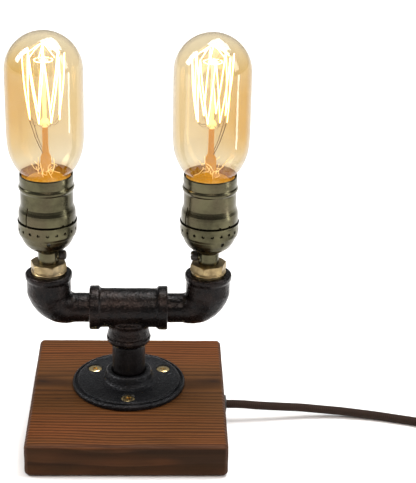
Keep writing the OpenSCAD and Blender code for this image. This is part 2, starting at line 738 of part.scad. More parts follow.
module switch_contacts() {
    // fixed and moving contact strips on the housing floor
    color([0.8, 0.66, 0.36])
    at_switch() {
        translate([-14, -4, 1.65]) cube([12, 3, 0.8]);
        translate([2, -4, 1.65]) cube([12, 3, 0.8]);
        translate([-3, -3.6, 1.65]) cube([2.2, 2.2, 6.6]);
        translate([-14, 3, 1.65]) cube([28, 2.4, 0.8]);
        for (x = [-12.5, 10]) translate([x, -4, 2.4]) cube([2.5, 3, 2.2]);
    }
}

module switch_screws() {
    color([0.6, 0.6, 0.62])
    at_switch() for (x = [-19, 19], y = [-8.5, 8.5])
        translate([x, y, 0.25]) difference() {
            union() {
                cylinder(h = 0.9, r = 0.97, $fn = 24);
                cylinder(h = 8.5, r = 0.95, $fn = 24);
            }
            translate([-0.8, -0.15, -0.1]) cube([1.6, 0.3, 0.5]);
        }
}

// ---------- nodes by side ----------

iron = [0.09, 0.085, 0.09];
brass = [0.70, 0.58, 0.36];
antique = [0.36, 0.34, 0.24];

module left_elbow() { color(iron) elbow(-1); }
module right_elbow() { color(iron) elbow(1); }
module left_bushing() { color(brass) bushing(-1); }
module right_bushing() { color(brass) bushing(1); }
module left_lamp_nipple() { color(brass) lamp_nipple(-1); }
module right_lamp_nipple() { color(brass) lamp_nipple(1); }
module left_wires() { color([0.15, 0.14, 0.14]) wires_in_arm(-1); }
module right_wires() { color([0.15, 0.14, 0.14]) wires_in_arm(1); }
module left_socket_cap() { color(antique) socket_cap(-1); }
module right_socket_cap() { color(antique) socket_cap(1); }
module left_neck_screw() { color([0.2, 0.19, 0.18]) neck_screw(-1); }
module right_neck_screw() { color([0.2, 0.19, 0.18]) neck_screw(1); }
module left_socket_core() { color([0.9, 0.88, 0.82]) socket_core(-1); }
module right_socket_core() { color([0.9, 0.88, 0.82]) socket_core(1); }
module left_centre_contact() { color(brass) centre_contact(-1); }
module right_centre_contact() { color(brass) centre_contact(1); }
module left_terminal_screws() { color(brass) terminal_screws(-1); }
module right_terminal_screws() { color(brass) terminal_screws(1); }
module left_screw_shell() { color([0.75, 0.74, 0.72]) screw_shell(-1); }
module right_screw_shell() { color([0.75, 0.74, 0.72]) screw_shell(1); }
module left_shell_liner() { color([0.5, 0.42, 0.3]) shell_liner(-1); }
module right_shell_liner() { color([0.5, 0.42, 0.3]) shell_liner(1); }
module left_socket_shell() { color(antique) socket_shell(-1); }
module right_socket_shell() { color(antique) socket_shell(1); }
module left_bulb_glass() { color([0.95, 0.8, 0.55, 0.35]) bulb_glass(-1); }
module right_bulb_glass() { color([0.95, 0.8, 0.55, 0.35]) bulb_glass(1); }
module left_bulb_stem() { color([0.85, 0.7, 0.45, 0.5]) bulb_stem(-1); }
module right_bulb_stem() { color([0.85, 0.7, 0.45, 0.5]) bulb_stem(1); }
module left_filament() { color([1, 0.85, 0.5]) filament(-1); }
module right_filament() { color([1, 0.85, 0.5]) filament(1); }
module left_filament_supports() { color([0.5, 0.5, 0.5]) filament_supports(-1); }
module right_filament_supports() { color([0.5, 0.5, 0.5]) filament_supports(1); }
module left_bulb_cap() { color(brass) bulb_cap(-1); }
module right_bulb_cap() { color(brass) bulb_cap(1); }
module left_bulb_tip() { color([0.1, 0.1, 0.12]) bulb_tip(-1); }
module right_bulb_tip() { color([0.1, 0.1, 0.12]) bulb_tip(1); }

base_block();
bottom_plate();
plate_screws();
floor_flange();
flange_screws();
riser_nipple();
pipe_tee();
cord_grommet();
wire_connectors();
inner_cord();
supply_wires();
cord_lead();
cord_feed();
cord_coil();
cord_tail();
coil_tie();
plug_body();
plug_pins();
switch_lower_shell();
switch_upper_shell();
switch_rocker();
switch_contacts();
switch_screws();
left_elbow();
left_bushing();
left_lamp_nipple();
left_wires();
left_socket_cap();
left_neck_screw();
left_socket_core();
left_centre_contact();
left_terminal_screws();
left_screw_shell();
left_shell_liner();
left_socket_shell();
left_bulb_glass();
left_bulb_stem();
left_filament();
left_filament_supports();
left_bulb_cap();
left_bulb_tip();
right_elbow();
right_bushing();
right_lamp_nipple();
right_wires();
right_socket_cap();
right_neck_screw();
right_socket_core();
right_centre_contact();
right_terminal_screws();
right_screw_shell();
right_shell_liner();
right_socket_shell();
right_bulb_glass();
right_bulb_stem();
right_filament();
right_filament_supports();
right_bulb_cap();
right_bulb_tip();
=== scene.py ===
import math
import random

import bpy
import bmesh
import numpy as np
from mathutils import Matrix, Vector, noise


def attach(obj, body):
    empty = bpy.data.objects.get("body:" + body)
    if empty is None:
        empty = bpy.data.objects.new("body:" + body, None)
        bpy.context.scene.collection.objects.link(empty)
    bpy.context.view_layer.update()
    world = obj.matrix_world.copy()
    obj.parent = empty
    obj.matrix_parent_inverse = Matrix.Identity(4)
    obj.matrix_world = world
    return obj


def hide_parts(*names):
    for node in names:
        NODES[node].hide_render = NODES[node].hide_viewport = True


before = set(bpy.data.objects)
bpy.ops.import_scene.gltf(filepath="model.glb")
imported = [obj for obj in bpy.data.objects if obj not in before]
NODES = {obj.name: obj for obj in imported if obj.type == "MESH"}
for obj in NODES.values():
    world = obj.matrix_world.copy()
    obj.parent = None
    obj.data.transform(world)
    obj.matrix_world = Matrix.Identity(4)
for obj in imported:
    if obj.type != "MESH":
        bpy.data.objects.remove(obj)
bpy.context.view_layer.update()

SCENE = bpy.context.scene
SCENE.view_settings.view_transform = "Standard"
K = 0.001                      # millimetres to metres
YC = 7.3                       # the column stands this far behind the middle
AX = 78.3                      # height of the arm axis
LX = 50.7                      # distance of each lamp axis from the column


# =====================================================================
# Camera
# =====================================================================

cam_data = bpy.data.cameras.new("camera")
cam = bpy.data.objects.new("camera", cam_data)
SCENE.collection.objects.link(cam)
cam_data.sensor_width = 36.0
cam_data.lens = 108.57
cam_data.clip_start = 0.01
cam_data.clip_end = 40.0
fwd = Vector((0.03573, 0.91348, -0.40530)).normalized()
a0 = math.radians(2.24)
right0 = Vector((math.cos(a0), -math.sin(a0), 0.0))
up0 = right0.cross(fwd).normalized()
right0 = fwd.cross(up0).normalized()
roll = math.radians(1.3)
cr = right0 * math.cos(roll) + up0 * math.sin(roll)
cu = up0 * math.cos(roll) - right0 * math.sin(roll)
m = Matrix.Identity(4)
for i in range(3):
    m[i][0], m[i][1], m[i][2] = cr[i], cu[i], -fwd[i]
m.translation = Vector((0.017218, -0.832970, 0.497868))
cam.matrix_world = m
SCENE.camera = cam


# =====================================================================
# Mesh helpers.  All work in millimetres until mk() scales to metres.
# =====================================================================

def mk(name, verts, faces, mat=None, sharp=35.0, uv=None):
    me = bpy.data.meshes.new(name)
    me.from_pydata([tuple(v) for v in np.asarray(verts, float) * K], [], faces)
    me.validate()
    ob = bpy.data.objects.new(name, me)
    SCENE.collection.objects.link(ob)
    if uv is not None:
        layer = me.uv_layers.new(name="UVMap")
        layer.data.foreach_set("uv", np.asarray(uv, np.float32).ravel())
    orient(ob)
    finish_shading(ob, sharp)
    if mat is not None:
        me.materials.append(mat)
    return ob


def orient(ob):
    bm = bmesh.new()
    bm.from_mesh(ob.data)
    bmesh.ops.recalc_face_normals(bm, faces=bm.faces)
    bm.to_mesh(ob.data)
    bm.free()


def finish_shading(ob, sharp=35.0):
    me = ob.data
    me.shade_smooth()
    if sharp is not None:
        me.set_sharp_from_angle(angle=math.radians(sharp))


def fillet(pts, r, n=4, closed=True):
    """Rounds the corners of a profile. A point may carry its own radius."""
    out = []
    m_ = len(pts)
    for i, p in enumerate(pts):
        rad = p[2] if len(p) > 2 else r
        P = np.array(p[:2], float)
        if rad <= 0 or (not closed and i in (0, m_ - 1)):
            out.append(tuple(P))
            continue
        A = np.array(pts[(i - 1) % m_][:2], float)
        B = np.array(pts[(i + 1) % m_][:2], float)
        u, v = A - P, B - P
        lu, lv = np.linalg.norm(u), np.linalg.norm(v)
        if lu < 1e-9 or lv < 1e-9:
            continue
        u, v = u / lu, v / lv
        c = float(np.clip(np.dot(u, v), -1, 1))
        half = math.acos(c) / 2
        if half > math.radians(88):
            out.append(tuple(P))
            continue
        d = min(rad / math.tan(half), 0.45 * lu, 0.45 * lv)
        s, e = P + u * d, P + v * d
        for k in range(n + 1):
            t = k / n
            q = (1 - t) ** 2 * s + 2 * t * (1 - t) * P + t * t * e
            out.append(tuple(q))
    return out


def lathe(prof, seg=96, closed=True, start=0.0):
    """Turns a profile of (radius, height) about Z. Returns verts and faces."""
    verts, faces, rows = [], [], []
    for (r, z) in [p[:2] for p in prof]:
        if abs(r) < 1e-6:
            rows.append([len(verts)])
            verts.append((0.0, 0.0, z))
        else:
            row = []
            for k in range(seg):
                a = start + 2 * math.pi * k / seg
                row.append(len(verts))
                verts.append((r * math.cos(a), r * math.sin(a), z))
            rows.append(row)
    pairs = list(zip(range(len(rows)), range(1, len(rows))))
    if closed:
        pairs.append((len(rows) - 1, 0))
    for i, j in pairs:
        a, b = rows[i], rows[j]
        if len(a) == 1 and len(b) == 1:
            continue
        for k in range(seg):
            k2 = (k + 1) % seg
            if len(a) == 1:
                faces.append((a[0], b[k2], b[k]))
            elif len(b) == 1:
                faces.append((a[k], a[k2], b[0]))
            else:
                faces.append((a[k], a[k2], b[k2], b[k]))
    return np.array(verts, float), faces


def move(verts, mat4):
    v = np.asarray(verts, float)
    M_ = np.array(mat4, float)
    return v @ M_[:3, :3].T + M_[:3, 3]


def T(x=0, y=0, z=0):
    return Matrix.Translation((x, y, z))


def R(axis, deg):
    return Matrix.Rotation(math.radians(deg), 4, axis)


def join_raw(parts):
    vs, fs, n = [], [], 0
    for v, f in parts:
        vs.append(np.asarray(v, float))
        fs += [tuple(i + n for i in q) for q in f]
        n += len(v)
    return np.vstack(vs), fs


def cyl(r, h, seg=32, z0=0.0):
    return lathe([(0, z0), (r, z0), (r, z0 + h), (0, z0 + h)], seg, closed=False)


def box_raw(x0, x1, y0, y1, z0, z1):
    v = [(x, y, z) for z in (z0, z1) for y in (y0, y1) for x in (x0, x1)]
    f = [(0, 2, 3, 1), (4, 5, 7, 6), (0, 1, 5, 4), (2, 6, 7, 3), (0, 4, 6, 2), (1, 3, 7, 5)]
    return np.array(v, float), f


def settle(ob):
    """Puts the result of the modifiers into the mesh."""
    dg = bpy.context.evaluated_depsgraph_get()
    me = bpy.data.meshes.new_from_object(ob.evaluated_get(dg))
    old = ob.data
    ob.modifiers.clear()
    ob.data = me
    bpy.data.meshes.remove(old)
    return ob


def boolean(ob, raw, op="DIFFERENCE", sharp=35.0):
    """ob combined with the raw mesh (verts, faces), in millimetres."""
    other = mk("cutter", raw[0], raw[1], None, None)
    md = ob.modifiers.new("b", "BOOLEAN")
    md.operation = op
    md.object = other
    md.solver = "MANIFOLD"
    bpy.context.view_layer.update()
    settle(ob)
    me = other.data
    bpy.data.objects.remove(other)
    bpy.data.meshes.remove(me)
    finish_shading(ob, sharp)
    return ob


def bevelled(ob, width, segs=2, angle=30.0, sharp=40.0):
    md = ob.modifiers.new("v", "BEVEL")
    md.width = width * K
    md.segments = segs
    md.limit_method = "ANGLE"
    md.angle_limit = math.radians(angle)
    md.use_clamp_overlap = True
    md.harden_normals = False
    settle(ob)
    finish_shading(ob, sharp)
    return ob


def coords(ob):
    co = np.empty(len(ob.data.vertices) * 3)
    ob.data.vertices.foreach_get("co", co)
    return co.reshape(-1, 3) / K


def set_coords(ob, co):
    ob.data.vertices.foreach_set("co", (np.asarray(co) * K).ravel())
    ob.data.update()


def edges_of(ob):
    e = np.empty(len(ob.data.edges) * 2, np.int64)
    ob.data.edges.foreach_get("vertices", e)
    return e.reshape(-1, 2)


def relax(ob, iters, weight=None, factor=0.5):
    co = coords(ob)
    e = edges_of(ob)
    n = len(co)
    deg = np.bincount(e.ravel(), minlength=n).astype(float)[:, None]
    w = factor if weight is None else factor * weight[:, None]
    for _ in range(iters):
        acc = np.zeros_like(co)
        np.add.at(acc, e[:, 0], co[e[:, 1]])
        np.add.at(acc, e[:, 1], co[e[:, 0]])
        co = co + w * (acc / deg - co)
    set_coords(ob, co)


def normals_of(ob):
    n = np.empty(len(ob.data.vertices) * 3)
    ob.data.vertices.foreach_get("normal", n)
    return n.reshape(-1, 3)


def roughen(ob, parts, seed=0.0, mask=None):
    """Casting lumps in the surface itself. parts is [(size in mm, depth in mm)]."""
    co = coords(ob)
    nr = normals_of(ob)
    d = np.zeros(len(co))
    for size, depth in parts:
        for i, p in enumerate(co):
            d[i] += depth * noise.noise(Vector((p[0] / size + seed, p[1] / size - seed, p[2] / size)))
    if mask is not None:
        d *= mask
    set_coords(ob, co + nr * d[:, None])


def remesh(ob, size):
    md = ob.modifiers.new("r", "REMESH")
    md.mode = "VOXEL"
    md.voxel_size = size * K
    md.use_smooth_shade = True
    settle(ob)
    return ob


def set_mat(ob, mat):
    ob.data.materials.clear()
    ob.data.materials.append(mat)


def spline(pts, step, closed=False):
    """Smooth centripetal curve through the points, sampled at about step."""
    P = [np.array(p, float) for p in pts]
    P = [2 * P[0] - P[1]] + P + [2 * P[-1] - P[-2]]
    out = []
    for i in range(1, len(P) - 2):
        p0, p1, p2, p3 = P[i - 1:i + 3]
        t0 = 0.0
        t1 = t0 + max(np.linalg.norm(p1 - p0), 1e-6) ** 0.5
        t2 = t1 + max(np.linalg.norm(p2 - p1), 1e-6) ** 0.5
        t3 = t2 + max(np.linalg.norm(p3 - p2), 1e-6) ** 0.5
        n = max(2, int(np.linalg.norm(p2 - p1) / step))
        for k in range(n):
            t = t1 + (t2 - t1) * k / n
            A1 = (t1 - t) / (t1 - t0) * p0 + (t - t0) / (t1 - t0) * p1
            A2 = (t2 - t) / (t2 - t1) * p1 + (t - t1) / (t2 - t1) * p2
            A3 = (t3 - t) / (t3 - t2) * p2 + (t - t2) / (t3 - t2) * p3
            B1 = (t2 - t) / (t2 - t0) * A1 + (t - t0) / (t2 - t0) * A2
            B2 = (t3 - t) / (t3 - t1) * A2 + (t - t1) / (t3 - t1) * A3
            out.append((t2 - t) / (t2 - t1) * B1 + (t - t1) / (t2 - t1) * B2)
    out.append(P[-2])
    return np.array(out)


def even(path, step):
    """The path resampled at equal steps."""
    d = np.r_[0, np.cumsum(np.linalg.norm(np.diff(path, axis=0), axis=1))]
    n = max(2, int(round(d[-1] / step)))
    s = np.linspace(0, d[-1], n + 1)
    return np.stack([np.interp(s, d, path[:, k]) for k in range(3)], 1)


def frames_along(path, up=(0, 0, 1)):
    t = np.gradient(path, axis=0)
    t /= np.linalg.norm(t, axis=1)[:, None]
    u = np.array(up, float)
    u = u - t[0] * np.dot(u, t[0])
    if np.linalg.norm(u) < 1e-3:
        u = np.array((1.0, 0, 0)) - t[0] * t[0][0]
    u /= np.linalg.norm(u)
    us = [u]
    for i in range(1, len(path)):
        u = us[-1] - t[i] * np.dot(us[-1], t[i])
        u /= np.linalg.norm(u)
        us.append(u)
    us = np.array(us)
    return t, us, np.cross(t, us)


def tube(path, r, seg=12, up=(0, 0, 1), closed=False):
    """Round tube along the path. r is one radius or one for each point."""
    path = np.asarray(path, float)
    n = len(path)
    t, u, v = frames_along(path, up)
    rr = np.broadcast_to(np.asarray(r, float), (n,))
    ang = 2 * math.pi * np.arange(seg) / seg
    ring = (u[:, None] * np.cos(ang)[None, :, None] + v[:, None] * np.sin(ang)[None, :, None])
    verts = (path[:, None] + ring * rr[:, None, None]).reshape(-1, 3)
    faces = []
    for i in range(n if closed else n - 1):
        for k in range(seg):
            a, b = i * seg + k, i * seg + (k + 1) % seg
            c, d = ((i + 1) % n) * seg + (k + 1) % seg, ((i + 1) % n) * seg + k
            faces.append((a, b, c, d))
    if not closed:
        faces.append(tuple(range(seg))[::-1])
        faces.append(tuple((n - 1) * seg + k for k in range(seg)))
    return verts, faces


def rounded_box(w, d, h, r, nx=6, ny=6, nz=6, arc=4):
    """Box with round edges and corners, standing on z = 0, in even grids."""
    def line(n, half, rad):
        inner = np.linspace(-(half - rad), half - rad, n + 1)
        edge = half - rad + rad * (1 - np.cos(np.linspace(0, math.pi / 2, arc + 1)[1:]))
        edge = half - rad + rad * np.sin(np.linspace(0, math.pi / 2, arc + 1)[1:])
        return np.r_[-edge[::-1], inner, edge]
    xs, ys, zs = line(nx, w / 2, r), line(ny, d / 2, r), line(nz, h / 2, r)
    index, verts, faces = {}, [], []

    def vid(i, j, k):
        key = (i, j, k)
        if key not in index:
            p = np.array((xs[i], ys[j], zs[k]))
            lim = np.array((w / 2 - r, d / 2 - r, h / 2 - r))
            q = np.clip(p, -lim, lim)
            v = p - q
            s = np.max(np.abs(v))
            if s > 1e-9:
                # turn the cube corner into a sphere corner
                c = v / r
                x, y, z = c
                sp = np.array((x * math.sqrt(max(0, 1 - y * y / 2 - z * z / 2 + y * y * z * z / 3)),
                               y * math.sqrt(max(0, 1 - z * z / 2 - x * x / 2 + z * z * x * x / 3)),
                               z * math.sqrt(max(0, 1 - x * x / 2 - y * y / 2 + x * x * y * y / 3))))
                if abs(s - r) < 1e-6:
                    sp = sp / max(np.linalg.norm(sp), 1e-9)
                p = q + sp * r
            index[key] = len(verts)
            verts.append(p + np.array((0, 0, h / 2)))
        return index[key]

    X, Y, Z = len(xs) - 1, len(ys) - 1, len(zs) - 1
    for i in range(X):
        for j in range(Y):
            faces.append((vid(i, j, 0), vid(i, j + 1, 0), vid(i + 1, j + 1, 0), vid(i + 1, j, 0)))
            faces.append((vid(i, j, Z), vid(i + 1, j, Z), vid(i + 1, j + 1, Z), vid(i, j + 1, Z)))
    for i in range(X):
        for k in range(Z):
            faces.append((vid(i, 0, k), vid(i + 1, 0, k), vid(i + 1, 0, k + 1), vid(i, 0, k + 1)))
            faces.append((vid(i, Y, k), vid(i, Y, k + 1), vid(i + 1, Y, k + 1), vid(i + 1, Y, k)))
    for j in range(Y):
        for k in range(Z):
            faces.append((vid(0, j, k), vid(0, j, k + 1), vid(0, j + 1, k + 1), vid(0, j + 1, k)))
            faces.append((vid(X, j, k), vid(X, j + 1, k), vid(X, j + 1, k + 1), vid(X, j, k + 1)))
    return np.array(verts, float), faces


# =====================================================================
# Material helpers
# =====================================================================

class Mat:
    """A node material with one Principled shader."""

    def __init__(self, name, color=(0.5, 0.5, 0.5), rough=0.5, metal=0.0, **sockets):
        self.m = bpy.data.materials.new(name)
        self.m.use_nodes = True
        self.t = self.m.node_tree
        self.t.nodes.clear()
        self.out = self.node("ShaderNodeOutputMaterial")
        self.b = self.node("ShaderNodeBsdfPrincipled")
        self.t.links.new(self.b.outputs[0], self.out.inputs[0])
        self.set("Base Color", color)
        self.set("Roughness", rough)
        self.set("Metallic", metal)
        for k, v in sockets.items():
            self.set(k.replace("_", " "), v)
        self.obj = self.node("ShaderNodeTexCoord").outputs["Object"]

    def node(self, kind, ins=None, **props):
        n = self.t.nodes.new(kind)
        for k, v in props.items():
            setattr(n, k, v)
        for k, v in (ins or {}).items():
            self.put(n.inputs[k], v)
        return n

    def put(self, sock, v):
        if isinstance(v, bpy.types.NodeSocket):
            self.t.links.new(v, sock)
        elif isinstance(v, (tuple, list)) and len(v) == 3 and sock.type == "RGBA":
            sock.default_value = (*v, 1.0)
        else:
            sock.default_value = v

    def set(self, name, v):
        self.put(self.b.inputs[name], v)

    def scaled(self, s, src=None, loc=(0, 0, 0), rot=(0, 0, 0)):
        s = (s, s, s) if isinstance(s, (int, float)) else s
        n = self.node("ShaderNodeMapping", {"Vector": src or self.obj, "Scale": s, "Location": loc,
                                            "Rotation": rot})
        return n.outputs[0]

    def noise(self, scale, detail=3.0, rough=0.55, vec=None, dist=0.0):
        n = self.node("ShaderNodeTexNoise", {"Vector": vec or self.obj, "Scale": scale,
                                             "Detail": detail, "Roughness": rough,
                                             "Distortion": dist})
        return n.outputs["Fac"]

    def voronoi(self, scale, vec=None, feature="F1", out="Distance", rand=1.0):
        n = self.node("ShaderNodeTexVoronoi", {"Vector": vec or self.obj, "Scale": scale,
                                               "Randomness": rand}, feature=feature)
        return n.outputs[out]

    def math(self, op, a, b=0.0, clamp=False):
        n = self.node("ShaderNodeMath", {0: a, 1: b}, operation=op, use_clamp=clamp)
        return n.outputs[0]

    def span(self, v, a, b, c=0.0, d=1.0, smooth=False):
        n = self.node("ShaderNodeMapRange", {"Value": v, "From Min": a, "From Max": b,
                                             "To Min": c, "To Max": d})
        if smooth:
            n.interpolation_type = "SMOOTHSTEP"
        return n.outputs[0]

    def mix(self, fac, a, b):
        n = self.node("ShaderNodeMix", data_type="RGBA")
        self.put(n.inputs[0], fac)
        self.put(n.inputs[6], a)
        self.put(n.inputs[7], b)
        return n.outputs[2]

    def mixf(self, fac, a, b):
        n = self.node("ShaderNodeMix", data_type="FLOAT")
        self.put(n.inputs[0], fac)
        self.put(n.inputs[2], a)
        self.put(n.inputs[3], b)
        return n.outputs[0]

    def ramp(self, fac, stops):
        n = self.node("ShaderNodeValToRGB", {"Fac": fac})
        el = n.color_ramp.elements
        while len(el) < len(stops):
            el.new(0.5)
        for e, (p, c) in zip(el, stops):
            e.position = p
            e.color = (*c, 1.0)
        return n.outputs[0]

    def bump(self, height, distance, strength=1.0, normal=None):
        ins = {"Height": height, "Distance": distance, "Strength": strength}
        n = self.node("ShaderNodeBump", ins)
        if normal is not None:
            self.put(n.inputs["Normal"], normal)
        return n.outputs[0]

    def xyz(self, src=None):
        n = self.node("ShaderNodeSeparateXYZ", {0: src or self.obj})
        return n.outputs[0], n.outputs[1], n.outputs[2]

    def attr(self, name, out="Fac"):
        n = self.node("ShaderNodeAttribute", attribute_name=name)
        return n.outputs[out]


def cast_iron(name, base, warm, rough=(0.38, 0.62), grain=1.0, metal=0.55):
    """Black lacquer over sand-cast iron: fine grain, warm rubbed patches, painted glints on the grain and brighter
    edges that are partly a painted highlight.
    """
    M_ = Mat(name, base, 0.5, metal, Specular_IOR_Level=0.24)
    patch = M_.noise(55, 4, 0.6)
    fine = M_.noise(900, 3, 0.6)
    mid = M_.noise(260, 4, 0.6)
    pits = M_.voronoi(650)
    edge = M_.attr("edge")
    c = M_.mix(M_.span(patch, 0.42, 0.68), base, warm)
    c = M_.mix(M_.span(fine, 0.35, 0.75, 0.0, 0.45), c, tuple(x * 0.35 for x in base))
    sand = M_.noise(850, 2, 0.5)
    # painted glints: light speckles on the sand grain stand in for sparkle
    c = M_.mix(M_.span(sand, 0.56, 0.72, 0.0, 0.35), c, tuple(min(1, x * 1.5 + 0.008) for x in warm))
    # brighter convex edges: partly rubbed wear, partly a painted highlight
    c = M_.mix(M_.span(edge, 0.1, 0.8, 0.0, 0.75), c, tuple(min(1, x * 4.5) for x in warm))
    M_.set("Base Color", c)
    r = M_.span(mid, 0.3, 0.7, rough[0], rough[1])
    M_.set("Roughness", r)
    h = M_.math("ADD", M_.math("MULTIPLY", sand, 1.2), M_.math("MULTIPLY", mid, 0.35))
    h = M_.math("ADD", h, M_.math("MULTIPLY", M_.span(pits, 0.0, 0.35, 0.0, 1.0), 0.22))
    M_.set("Normal", M_.bump(h, 0.00032 * grain, 1.0))
    return M_.m


def worn_metal(name, base, dark, rough=(0.25, 0.45), patch_scale=90, fine_scale=1400,
               bump=0.00002, spin=False, tint=None, edge_gain=1.6):
    """Plated or machined metal with tarnish, fine scratches and brighter edges."""
    M_ = Mat(name, base, 0.3, 1.0)
    patch = M_.noise(patch_scale, 5, 0.65)
    c = M_.mix(M_.span(patch, 0.38, 0.66), base, dark)
    if tint is not None:
        c = M_.mix(M_.span(M_.noise(35, 3, 0.5), 0.5, 0.7, 0.0, 0.6), c, tint)
    edge = M_.attr("edge")
    # brighter convex edges: partly rubbed wear, partly a painted highlight
    c = M_.mix(M_.span(edge, 0.2, 0.9, 0.0, 0.6), c, tuple(min(1.0, x * edge_gain) for x in base))
    M_.set("Base Color", c)
    if spin:       # turning marks run round the axis
        v = M_.scaled((60, 60, 5200))
        lines = M_.noise(1.0, 3, 0.6, v)
    else:
        lines = M_.noise(fine_scale, 3, 0.6)
    speck = M_.noise(2600, 2, 0.5)
    r = M_.span(M_.math("ADD", M_.math("MULTIPLY", patch, 0.6), M_.math("MULTIPLY", lines, 0.4)),
                0.35, 0.65, rough[0], rough[1])
    M_.set("Roughness", r)
    h = M_.math("ADD", lines, M_.math("MULTIPLY", speck, 0.5))
    M_.set("Normal", M_.bump(h, bump, 0.6))
    return M_.m


def moulded(name, base, rough=(0.4, 0.55), grain=1500, depth=0.00003, metal=0.0, mottle=0.25,
            **sockets):
    """Moulded plastic, rubber or insulator with a fine grain and a slight mottle."""
    M_ = Mat(name, base, 0.5, metal, **sockets)
    slow = M_.noise(60, 4, 0.6)
    fine = M_.noise(grain, 3, 0.6)
    cells = M_.voronoi(grain * 0.8)
    c = M_.mix(M_.span(slow, 0.35, 0.7, 0.0, mottle), base, tuple(x * 0.55 for x in base))
    c = M_.mix(M_.span(fine, 0.45, 0.8, 0.0, mottle), c, tuple(min(1, x * 1.35 + 0.004) for x in base))
    M_.set("Base Color", c)
    M_.set("Roughness", M_.span(fine, 0.3, 0.7, rough[0], rough[1]))
    M_.set("Normal", M_.bump(M_.math("ADD", fine, M_.math("MULTIPLY", cells, 0.5)), depth, 0.7))
    return M_.m


def mark_edges(ob, reach=2, lo=0.06, hi=0.5):
    """Stores how convex the surface is, so that edges can show brighter: partly rubbed wear, partly a painted
    highlight.
    """
    me = ob.data
    co, nr, e = coords(ob), normals_of(ob), edges_of(ob)
    n = len(co)
    d = co[e[:, 1]] - co[e[:, 0]]
    ln = np.linalg.norm(d, axis=1) + 1e-9
    k0 = -np.einsum("ij,ij->i", d, nr[e[:, 0]]) / ln
    k1 = np.einsum("ij,ij->i", d, nr[e[:, 1]]) / ln
    acc, cnt = np.zeros(n), np.zeros(n)
    np.add.at(acc, e[:, 0], k0)
    np.add.at(acc, e[:, 1], k1)
    np.add.at(cnt, e[:, 0], 1)
    np.add.at(cnt, e[:, 1], 1)
    c = acc / np.maximum(cnt, 1)
    for _ in range(reach):
        s = np.zeros(n)
        np.add.at(s, e[:, 0], c[e[:, 1]])
        np.add.at(s, e[:, 1], c[e[:, 0]])
        c = 0.5 * c + 0.5 * s / np.maximum(cnt, 1)
    v = np.clip((c - lo) / (hi - lo), 0, 1).astype(np.float32)
    at = me.attributes.get("edge") or me.attributes.new("edge", "FLOAT", "POINT")
    at.data.foreach_set("value", v)
    return ob


# ---- the materials ---------------------------------------------------

IRON = cast_iron("black_iron", (0.0045, 0.0040, 0.0042), (0.018, 0.0106, 0.0084), (0.20, 0.33), 0.75)
FLANGE_IRON = cast_iron("flange_iron", (0.010, 0.0108, 0.0125), (0.020, 0.020, 0.022), (0.25, 0.40), 1.5)
PIPE_IRON = cast_iron("pipe_iron", (0.0055, 0.005, 0.0055), (0.012, 0.010, 0.010), (0.28, 0.44), 0.7)
BRONZE = worn_metal("antique_bronze", (0.098, 0.091, 0.052), (0.042, 0.039, 0.023), (0.18, 0.30),
                    70, spin=True, bump=0.000012, tint=(0.12, 0.098, 0.062), edge_gain=3.2)
BRASS = worn_metal("cast_brass", (0.38, 0.290, 0.150), (0.22, 0.16, 0.080), (0.28, 0.50), 260, 900,
                   0.00010, tint=(0.26, 0.22, 0.15), edge_gain=2.0)
SCREW_BRASS = worn_metal("yellow_brass", (0.85, 0.68, 0.36), (0.62, 0.45, 0.20), (0.16, 0.32), 300,
                         1800, 0.00002)
DARK_STEEL = worn_metal("dark_screw", (0.06, 0.055, 0.05), (0.03, 0.027, 0.025), (0.22, 0.4), 200,
                        1500, 0.00002, edge_gain=3.0)
CONTACT = worn_metal("contact_brass", (0.78, 0.62, 0.32), (0.55, 0.40, 0.18), (0.2, 0.4), 120)
STEEL = worn_metal("small_steel", (0.55, 0.55, 0.56), (0.34, 0.34, 0.35), (0.25, 0.5), 200)
PLATE_STEEL = worn_metal("plate_screw_steel", (0.42, 0.42, 0.43), (0.25, 0.25, 0.26), (0.3, 0.5), 200)
SHELL_METAL = worn_metal("shell_metal", (0.72, 0.71, 0.68), (0.5, 0.49, 0.46), (0.2, 0.42), 110, spin=True)
CAP_BRASS = worn_metal("cap_brass", (0.66, 0.52, 0.28), (0.42, 0.32, 0.16), (0.2, 0.4), 120)
SUPPORT = worn_metal("support_wire", (0.40, 0.30, 0.20), (0.20, 0.13, 0.08), (0.25, 0.45), 300)
INSULATOR = moulded("holder_insulator", (0.72, 0.69, 0.62), (0.3, 0.5), 1100, 0.00003)
LINER = moulded("liner_fibre", (0.30, 0.22, 0.14), (0.6, 0.8), 700, 0.00008, mottle=0.5)
CAP_BLACK = moulded("cap_insulator", (0.02, 0.02, 0.024), (0.1, 0.25), 1500, 0.00001)
WIRE = moulded("conductor_cover", (0.06, 0.052, 0.048), (0.35, 0.5), 1500, 0.00002)
CONNECTOR = moulded("splice_caps", (0.75, 0.33, 0.05), (0.35, 0.5), 900, 0.00004)
PLATE = moulded("cover_plate", (0.035, 0.033, 0.031), (0.5, 0.7), 700, 0.00006)
RUBBER = moulded("grommet_rubber", (0.012, 0.012, 0.012), (0.35, 0.5), 1800, 0.00002)
PLUG = moulded("plug_plastic", (0.022, 0.018, 0.016), (0.35, 0.5), 1400, 0.00003)
SWITCH = moulded("switch_plastic", (0.020, 0.018, 0.017), (0.38, 0.55), 1300, 0.00004)
ROCKER = moulded("rocker_plastic", (0.016, 0.016, 0.017), (0.18, 0.3), 1600, 0.00001)


